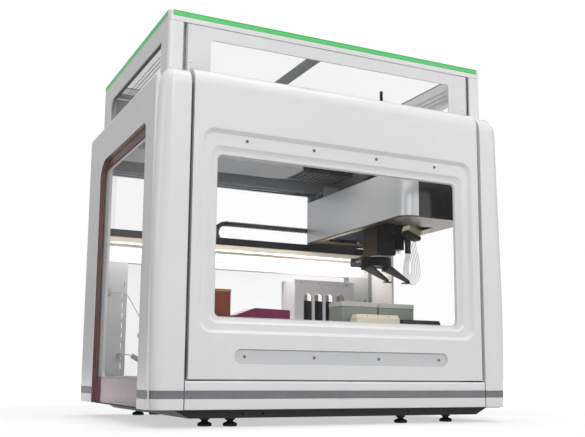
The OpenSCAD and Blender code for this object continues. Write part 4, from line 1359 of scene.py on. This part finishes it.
@dataclass
class CableChain:
    """The energy chain: a run in the tray, a loop and a run back to the bridge.

    Attributes:
        y: Middle of the chain.
        low: Height of the lower run.
        high: Height of the upper run.
        turn: Where the loop starts.
        home: Where the upper run ends at rest.
        pitch: Length of a link in the runs.
        loop_pitch: Length of a link in the loop.
        width: Width of a link.
        height: Height of a link.
    """

    y: float = 0.349
    low: float = 0.602
    high: float = 0.672
    turn: float = -0.08
    home: float = 0.279
    pitch: float = 0.015
    loop_pitch: float = 0.0137
    width: float = 0.022
    height: float = 0.015

    def build(self) -> None:
        """Makes the three lengths."""
        tree = chain_tree()
        runs = {"chain_lower_run": self.low, "chain_upper_run": self.high}
        for name, z in runs.items():
            path = path_host([(self.turn + 0.004, self.y, z), (self.home, self.y, z)])
            piece = tree.run(name, path, CHAIN, Pitch=self.pitch, Width=self.width, Height=self.height)
            if name == "chain_lower_run":
                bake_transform(piece)
            else:
                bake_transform(piece)
            log.info("%s follows the bridge", name)
        middle, radius = (self.low + self.high) / 2, (self.high - self.low) / 2
        arc = [(self.turn - radius * math.sin(a), self.y, middle + radius * math.cos(a))
               for a in map(math.radians, range(0, 181, 6))]
        loop = tree.run("chain_loop", path_host(arc), CHAIN,
                        Pitch=self.loop_pitch, Width=self.width, Height=self.height)
        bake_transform(loop)
        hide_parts("energy_chain")


@dataclass
class UpperFrame:
    """Columns, ceiling plate, ducts, door tracks and balancers."""

    def build(self) -> None:
        """Dresses the upper frame."""
        dressed("main_frame", STEEL_GREY, 0.0008)
        dressed("ceiling_duct", STEEL_GREY, 0.001)
        dressed("flexible_duct", DUCT, 0.001)
        dressed("door_guides", ANODISED, 0.0003)
        dressed("door_balancers", STEEL_GREY, 0.001)
        self.ceiling_screws()

    def ceiling_screws(self) -> None:
        """Fixings along the ceiling plate's front."""
        spots = [((x * 0.1, -0.337, 0.8621), DOWN) for x in range(-4, 5)]
        spots += [((x * 0.1, 0.3, 0.8621), DOWN) for x in range(2, 5)]
        screws("ceiling_screws", "frame", STEEL, spots, 0.0035, 0.0018)


@dataclass
class Canopy:
    """The windowed top section with the light ring.

    Attributes:
        front: The front sheet's face, in Y.
        cross_member: Box round the member under the roof.
        left_beam_painted_light: Box round the shaded beam faces at the upper left, made clear so they show
            white: painted light.
        catch: Box round the catch of the front pane.
    """

    front: float = -0.346
    cross_member: Box = ((-0.062, -FAR, 1.08), (-0.015, FAR, FAR))
    left_beam_painted_light: Box = ((-0.501, -0.277, 1.029), (-0.469, 0.381, FAR))
    catch: Box = ((0.153, -FAR, 0.963), (0.162, FAR, 0.996))

    def build(self) -> None:
        """Dresses the top section."""
        # The upper left beam's faces get the clear finish so they show white instead of in shade: painted
        # light.
        dressed("canopy_frame", WHITE, 0.0009, parts=[
            (within_box(self.cross_member), STEEL_GREY), (within_box(self.left_beam_painted_light), CLEAR)])
        dressed("canopy_front_panel", PANEL, 0.0009)
        dressed("canopy_windows", CLEAR, 0.0, parts=[(within_box(self.catch), BLACK)])
        dressed("canopy_rear_panel", PANEL, 0.0009)
        dressed("exhaust_filters", FILTER, 0.0006)
        dressed("roof_cap", ROOF, 0.0014, 3)
        dressed("status_light", GREEN, 0.0008)
        self.seals()
        self.screws()

    def seals(self) -> None:
        """Pale lips in the gaps beside the front sheet, with a slit for the door's runners."""
        lips = [((near, self.front + 0.002, 0.8685), (far, self.front + 0.0045, 1.0875))
                for near, far in ((0.4682, 0.4726), (0.4794, 0.4818))]
        mirrored_blocks("canopy_seals", lips, PALE_SEAL)

    def screws(self) -> None:
        """Fixings of the front sheet and the rear panel."""
        spots = [((side * 0.459, self.front, z), FRONT) for side in (-1, 1) for z in (0.98, 1.07)]
        spots += [((side * 0.47, 0.388, z), BACK) for side in (-1, 1) for z in (0.9, 1.07)]
        screws("canopy_screws", "frame", STEEL, spots, 0.003, 0.0014)


@dataclass
class Deck:
    """Deck positions, labware and the pump module.

    Attributes:
        cartridge_tops: Height where the cartridges' fittings start.
        box_lid: Height where the tip box's lid starts.
        tray_end: The tray's sloped end lies left of this X.
        rack_lids: Height where the racks' lids start.
        dark_trough: The dark trough lies right of this X.
    """

    cartridge_tops: float = 0.4045
    box_lid: float = 0.3565
    tray_end: float = -0.26
    rack_lids: float = 0.3375
    dark_trough: float = 0.2235

    def build(self) -> None:
        """Dresses the deck's equipment."""
        dressed("service_module", LILAC, 0.0008)
        dressed("pump_cartridges", BLACK, 0.0008, parts=[(lambda c, n: c.z > self.cartridge_tops, MANIFOLD)])
        dressed("deck_positioners", ANODISED, 0.0005)
        dressed("tip_box", BROWN, 0.0012, 3, parts=[(lambda c, n: c.z > self.box_lid, BROWN_LID)])
        dressed("reagent_tray", MAGENTA, 0.0015, 3, parts=[(lambda c, n: c.x < self.tray_end, RED_MAGENTA)])
        dressed("tube_racks", RACK, 0.0012, 3, parts=[(lambda c, n: c.z > self.rack_lids, RACK_LID)])
        dressed("reagent_troughs", CREAM, 0.001, parts=[(lambda c, n: c.x > self.dark_trough, BLACK)])


@dataclass
class Door:
    """The lifting door: shell, window, screws, grip and runners.

    Attributes:
        face: The shell's front, in Y.
        window: Left, right, lower and upper edge of the gasket.
        lip: Width of the gasket.
        screws: Where the door's screws are, in X.
    """

    face: float = -0.403
    window: tuple[float, float, float, float] = (-0.389, 0.389, 0.282, 0.72)
    lip: float = 0.0028
    screws: tuple[float, ...] = (-0.3075, -0.1025, 0.1025, 0.3075)

    def build(self) -> None:
        """Dresses the door and adds its gasket."""
        dressed("door_shell", WHITE, 0.0014, 3, angle=24.0, crisp=self.thin)
        dressed("door_window", DOOR_GLASS, 0.0)
        dressed("door_screws", SCREW, 0.0004)
        dressed("grip_plate", GRIP, 0.0005)
        dressed("door_runners", DARK_METAL, 0.0005)
        self.gasket()

    def thin(self, middle: Vector) -> bool:
        """Whether an edge of the shell is on a screw bore or on the thin rear rim."""
        bore = any(math.hypot(middle.x - x, middle.z - z) < 0.0032
                   for x in self.screws for z in (0.762, 0.181))
        return bore or middle.y > self.face + 0.02

    def gasket(self) -> None:
        """A pale seal round the window, in front of the glass."""
        x0, x1, z0, z1 = self.window
        outer = rounded_rectangle((x0, z0), (x1, z1), 0.016)
        inner = rounded_rectangle((x0 + self.lip, z0 + self.lip), (x1 - self.lip, z1 - self.lip), 0.0135)
        ring = ring_piece("window_gasket", outer, inner, self.face + 0.0235, self.face + 0.0278)
        place(ring, "door", PALE)


@dataclass
class Bridge:
    """The arm that spans the deck, and its carriage.

    Attributes:
        x: The arm's left side.
        z: Its underside.
        housing: Box round the black round housing on the arm's top.
        lead: Box round the left of the lead, where it leaves the arm's top.
        bracket: Box round the bracket between them.
    """

    x: float = ARM_X
    z: float = ARM_Z
    housing: Box = ((0.38, -FAR, 0.7755), (FAR, 0.32, FAR))
    lead: Box = ((-FAR, -FAR, 0.7755), (0.262, 0.312, FAR))
    bracket: Box = ((-FAR, -FAR, 0.7755), (0.36, 0.302, FAR))

    def build(self) -> None:
        """Dresses the arm."""
        dressed("arm_beam", ANODISED, 0.0006)
        dressed("arm_cover", COVER, 0.0005)
        dressed("arm_front_cap", SMOKED, 0.0008)
        dressed("arm_underside", BRONZE, 0.0005)
        dressed("arm_carriage", BLUE_GREY, 0.0008, parts=[
            (within_box(self.housing), BLACK), (within_box(self.lead), BLACK),
            (within_box(self.bracket), ANODISED)])
        self.screws()

    def screws(self) -> None:
        """Screws along the arm's left rear edge, its top and its underside."""
        left = [((self.x, 0.318, self.z + 0.02 + 0.026 * i), LEFT) for i in range(5)]
        right = [((self.x + 0.258, 0.318, self.z + 0.02 + 0.026 * i), RIGHT) for i in range(5)]
        top = [((self.x + x, y, self.z + 0.155), UP) for x in (0.013, 0.235) for y in (-0.2, 0.0, 0.2)]
        screws("arm_screws", "bridge", STEEL, left + right + top, 0.003, 0.0014)
        under = [((self.x + x, y, self.z - 0.0002), DOWN)
                 for x in (0.013, 0.244) for y in (-0.25, -0.12, 0.12, 0.27)]
        screws("underside_screws", "bridge", SCREW, under, 0.0035, 0.0016)


@dataclass
class Pod:
    """The carriage of the tools on the arm, with the tube manifold and its loops.

    Attributes:
        x: The arm's left side.
        z: Its underside.
        right: The manifold's middle, to the right of the arm's left side.
        below: The same, below the arm's underside.
        tilt: How far the manifold leans, in degrees.
    """

    x: float = ARM_X
    z: float = ARM_Z
    right: float = 0.172
    below: float = 0.005
    tilt: float = 22.0

    def build(self) -> None:
        """Dresses the pod and makes the tubes."""
        dressed("pod_frame", BLACK_METAL, 0.0006)
        dressed("tubing_manifold", MANIFOLD, 0.0006, parts=[(self.low_side, BLACK)])
        tubes = [self.tube(i) for i in range(6)]
        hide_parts("tubing_loops")

    def low_side(self, centre: Vector, _normal: Vector) -> bool:
        """Whether a face belongs to the clamp bar under the manifold.

        Args:
            centre: The face's centre.
            _normal: Its normal, which makes no difference.

        Returns:
            True where it does.
        """
        turn = math.radians(self.tilt)
        right, up = centre.x - self.x - self.right, centre.z - self.z + self.below
        return right * math.sin(turn) + up * math.cos(turn) < -0.0101

    def route(self, index: int, count: int = 54) -> list[Vector]:
        """Points of one tube, from the clamp bar down and back up to the fitting block.

        Args:
            index: The tube, from 0.
            count: Edges along it.

        Returns:
            The points.
        """
        turn = math.radians(self.tilt)
        u, w = -0.018 + 0.0072 * index, -0.022
        a = Vector((self.x + self.right + u * math.cos(turn) + w * math.sin(turn), -0.111,
                    self.z - self.below - u * math.sin(turn) + w * math.cos(turn)))
        b = Vector((self.x + 0.1815 - index * 0.0032, -0.0783, self.z - 0.0772))
        points = []
        for k in range(count + 1):
            t = k / count
            s = math.sin(math.pi * t)
            points.append(a + (b - a) * t + Vector((
                (0.022 + 0.0085 * index) * s * (1 - t) - (0.026 + 0.006 * index) * s * t * t,
                (index - 2.5) * 0.0034 * s, -(0.104 + 0.0042 * index) * max(s, 0.0) ** 0.75)))
        return points

    def tube(self, index: int) -> Piece:
        """One thin tube as a cord of its real length."""
        points = self.route(index)
        return cord_piece(f"probe_tube_{index + 1}", points, "pod", TUBE, 0.0014)


@dataclass
class Tools:
    """The probe head, the gripper column, its turning body and its fingers.

    Attributes:
        needle_top: Height below which the probes are bare steel.
        shaft_top: Height below which the column's shaft is bare steel.
        column_front: The column's dark front face lies before this Y.
        nut: The gripper's bare screw end lies left of this X.
    """

    needle_top: float = 0.5557
    shaft_top: float = 0.5349
    column_front: float = -0.0729
    nut: float = 0.2445

    def build(self) -> None:
        """Dresses the tools."""
        dressed("probe_head", BLACK_METAL, 0.0006, parts=[(lambda c, n: c.z < self.needle_top, STEEL)])
        dressed("gripper_column", BRONZE_COLUMN, 0.0008, parts=[
            (lambda c, n: c.z < self.shaft_top, STEEL), (lambda c, n: c.y < self.column_front, SMOKED)])
        dressed("gripper_body", BLACK_METAL, 0.0008, parts=[(lambda c, n: c.x < self.nut, STEEL)])
        dressed("finger_left", BLACK_METAL, 0.0005)
        dressed("finger_right", BLACK_METAL, 0.0005)


# ---------------------------------------------------------------- studio


@dataclass
class Studio:
    """Camera, floor, world and lamps.

    Attributes:
        eye: Where the camera stands.
        yaw: How far it looks to the right of straight back, in radians.
        pitch: How far it looks up, in radians.
        roll: How far it leans, in radians.
        lens: Its focal length, in millimetres.
        shift: Its upward shift, as a share of the sensor's width.
        middle: What the lamps outside the object aim at.
        warm: Colour of the lamps inside it.
    """

    eye: tuple[float, float, float] = (-1.1624, -2.4569, 0.134)
    yaw: float = 0.4491
    pitch: float = 0.1496
    roll: float = 0.0084
    lens: float = 51.955
    shift: float = 0.0504
    middle: tuple[float, float, float] = (0.0, 0.0, 0.55)
    warm: tuple[float, float, float] = (1.0, 0.97, 0.91)

    def build(self) -> None:
        """Sets the whole studio up."""
        bpy.context.scene.view_settings.view_transform = "Standard"
        self.camera()
        self.floor()
        self.world()
        self.lamp("key_light", (-0.7, -3.9, 3.0), (2.4, 1.8), 64.0)
        self.lamp("fill_light", (3.2, -2.6, 2.0), (2.2, 2.2), 18.0)
        self.lamp("side_light", (-3.6, -1.2, 1.6), (0.7, 2.2), 12.0)
        self.lamp("top_light", (0.2, 0.4, 3.6), (3.0, 3.0), 30.0)
        self.lamp("rear_light", (0.5, 3.6, 1.8), (3.0, 2.0), 24.0)
        self.inner_lamp("strip_glow", (0.0, 0.322, 0.576), (0.98, 0.03), -20.0, 2.6)
        self.inner_lamp("ceiling_glow", (0.0, -0.16, 0.85), (0.86, 0.24), 0.0, 2.6)

    def camera(self) -> None:
        """Puts the camera at the usual viewing angle."""
        level = math.cos(self.pitch)
        ahead = Vector((math.sin(self.yaw) * level, math.cos(self.yaw) * level, math.sin(self.pitch)))
        right = ahead.cross(Vector((0, 0, 1))).normalized()
        up = right.cross(ahead)
        along, over = math.cos(self.roll), math.sin(self.roll)
        right, up = along * right + over * up, -over * right + along * up
        data = bpy.data.cameras.new("camera")
        data.lens, data.sensor_width, data.shift_y = self.lens, 36.0, self.shift
        data.clip_start, data.clip_end = 0.01, 60.0
        made = as_object("camera", data)
        matrix = Matrix((right, up, -ahead)).transposed().to_4x4()
        matrix.translation = Vector(self.eye)
        made.matrix_world = matrix
        bpy.context.scene.camera = made

    def floor(self) -> None:
        """A plain white floor that keeps the object's soft shadow."""
        mesh = bpy.data.meshes.new("floor")
        mesh.from_pydata([(-30, -30, 0), (30, -30, 0), (30, 30, 0), (-30, 30, 0)], [], [(0, 1, 2, 3)])
        made = as_object("floor", mesh)
        paper = bpy.data.materials.new("floor_paper")
        g = emptied(paper)
        seen = g.seen("Is Camera Ray", "Is Glossy Ray", "Is Transmission Ray")
        matt = g.add("ShaderNodeBsdfDiffuse", {"Color": (0.42, 0.42, 0.42, 1.0)})
        away = g.add("ShaderNodeVectorMath", {0: g.where()}, operation="LENGTH").outputs["Value"]
        strength = g.times(seen, g.ramp(away, 1.0, 3.0, 0.56, 1.0))
        glow = g.add("ShaderNodeEmission", {"Color": WHITE_LIGHT, "Strength": strength})
        both = g.add("ShaderNodeAddShader", {0: matt.outputs[0], 1: glow.outputs[0]})
        g.add("ShaderNodeOutputMaterial", {"Surface": both.outputs[0]})
        made.data.materials.append(paper)

    def world(self) -> None:
        """Even, slightly top-lit surroundings, pure white where they are seen."""
        world = bpy.data.worlds.new("studio")
        bpy.context.scene.world = world
        g = emptied(world)
        seen = g.seen("Is Camera Ray", "Is Transmission Ray")
        x, _, z = g.split(g.add("ShaderNodeTexCoord").outputs["Generated"])
        level = g.times(g.ramp(z, -0.3, 0.9, 0.22, 0.8), g.ramp(x, -1.0, 0.4, 0.55, 1.0))
        strength = g.plus(g.times(g.math("SUBTRACT", 1.0, seen), level), seen)
        back = g.add("ShaderNodeBackground", {"Color": WHITE_LIGHT, "Strength": strength})
        g.add("ShaderNodeOutputWorld", {"Surface": back.outputs[0]})

    def lamp(self, name: str, spot: Point, size: Flat, watts: float) -> Piece:
        """Adds a soft area lamp aimed at the middle of the object, and returns it.

        Args:
            name: The lamp's name.
            spot: Where it stands.
            size: Its width and height.
            watts: Its power.

        Returns:
            The lamp.
        """
        data = bpy.data.lights.new(name, "AREA")
        data.shape, data.size, data.size_y, data.energy = "RECTANGLE", size[0], size[1], watts
        made = as_object(name, data)
        made.location = spot
        made.rotation_euler = (Vector(self.middle) - Vector(spot)).to_track_quat("-Z", "Y").to_euler()
        return made

    def inner_lamp(self, name: str, spot: Point, size: Flat, tilt: float, watts: float) -> None:
        """A warm, unseen lamp inside the housing that lights the wall and the deck.

        Args:
            name: The lamp's name.
            spot: Where it hangs.
            size: Its width and height.
            tilt: How far it leans from straight down, in degrees.
            watts: Its power.
        """
        made = self.lamp(name, spot, size, watts)
        made.data.color = self.warm
        made.visible_glossy = made.visible_camera = False
        made.rotation_euler = (math.radians(tilt), 0.0, 0.0)


def main() -> None:
    """Builds every sub-assembly in order."""
    logging.basicConfig(level=logging.INFO, format="%(name)s: %(message)s")
    Studio().build()
    for part in (Base(), Shell(), Rear(), CableChain(), UpperFrame(), Canopy(), Deck(), Door(),
                 Bridge(), Pod(), Tools()):
        log.info("building %s", type(part).__name__)
        part.build()


if __name__ == "__main__":
    main()
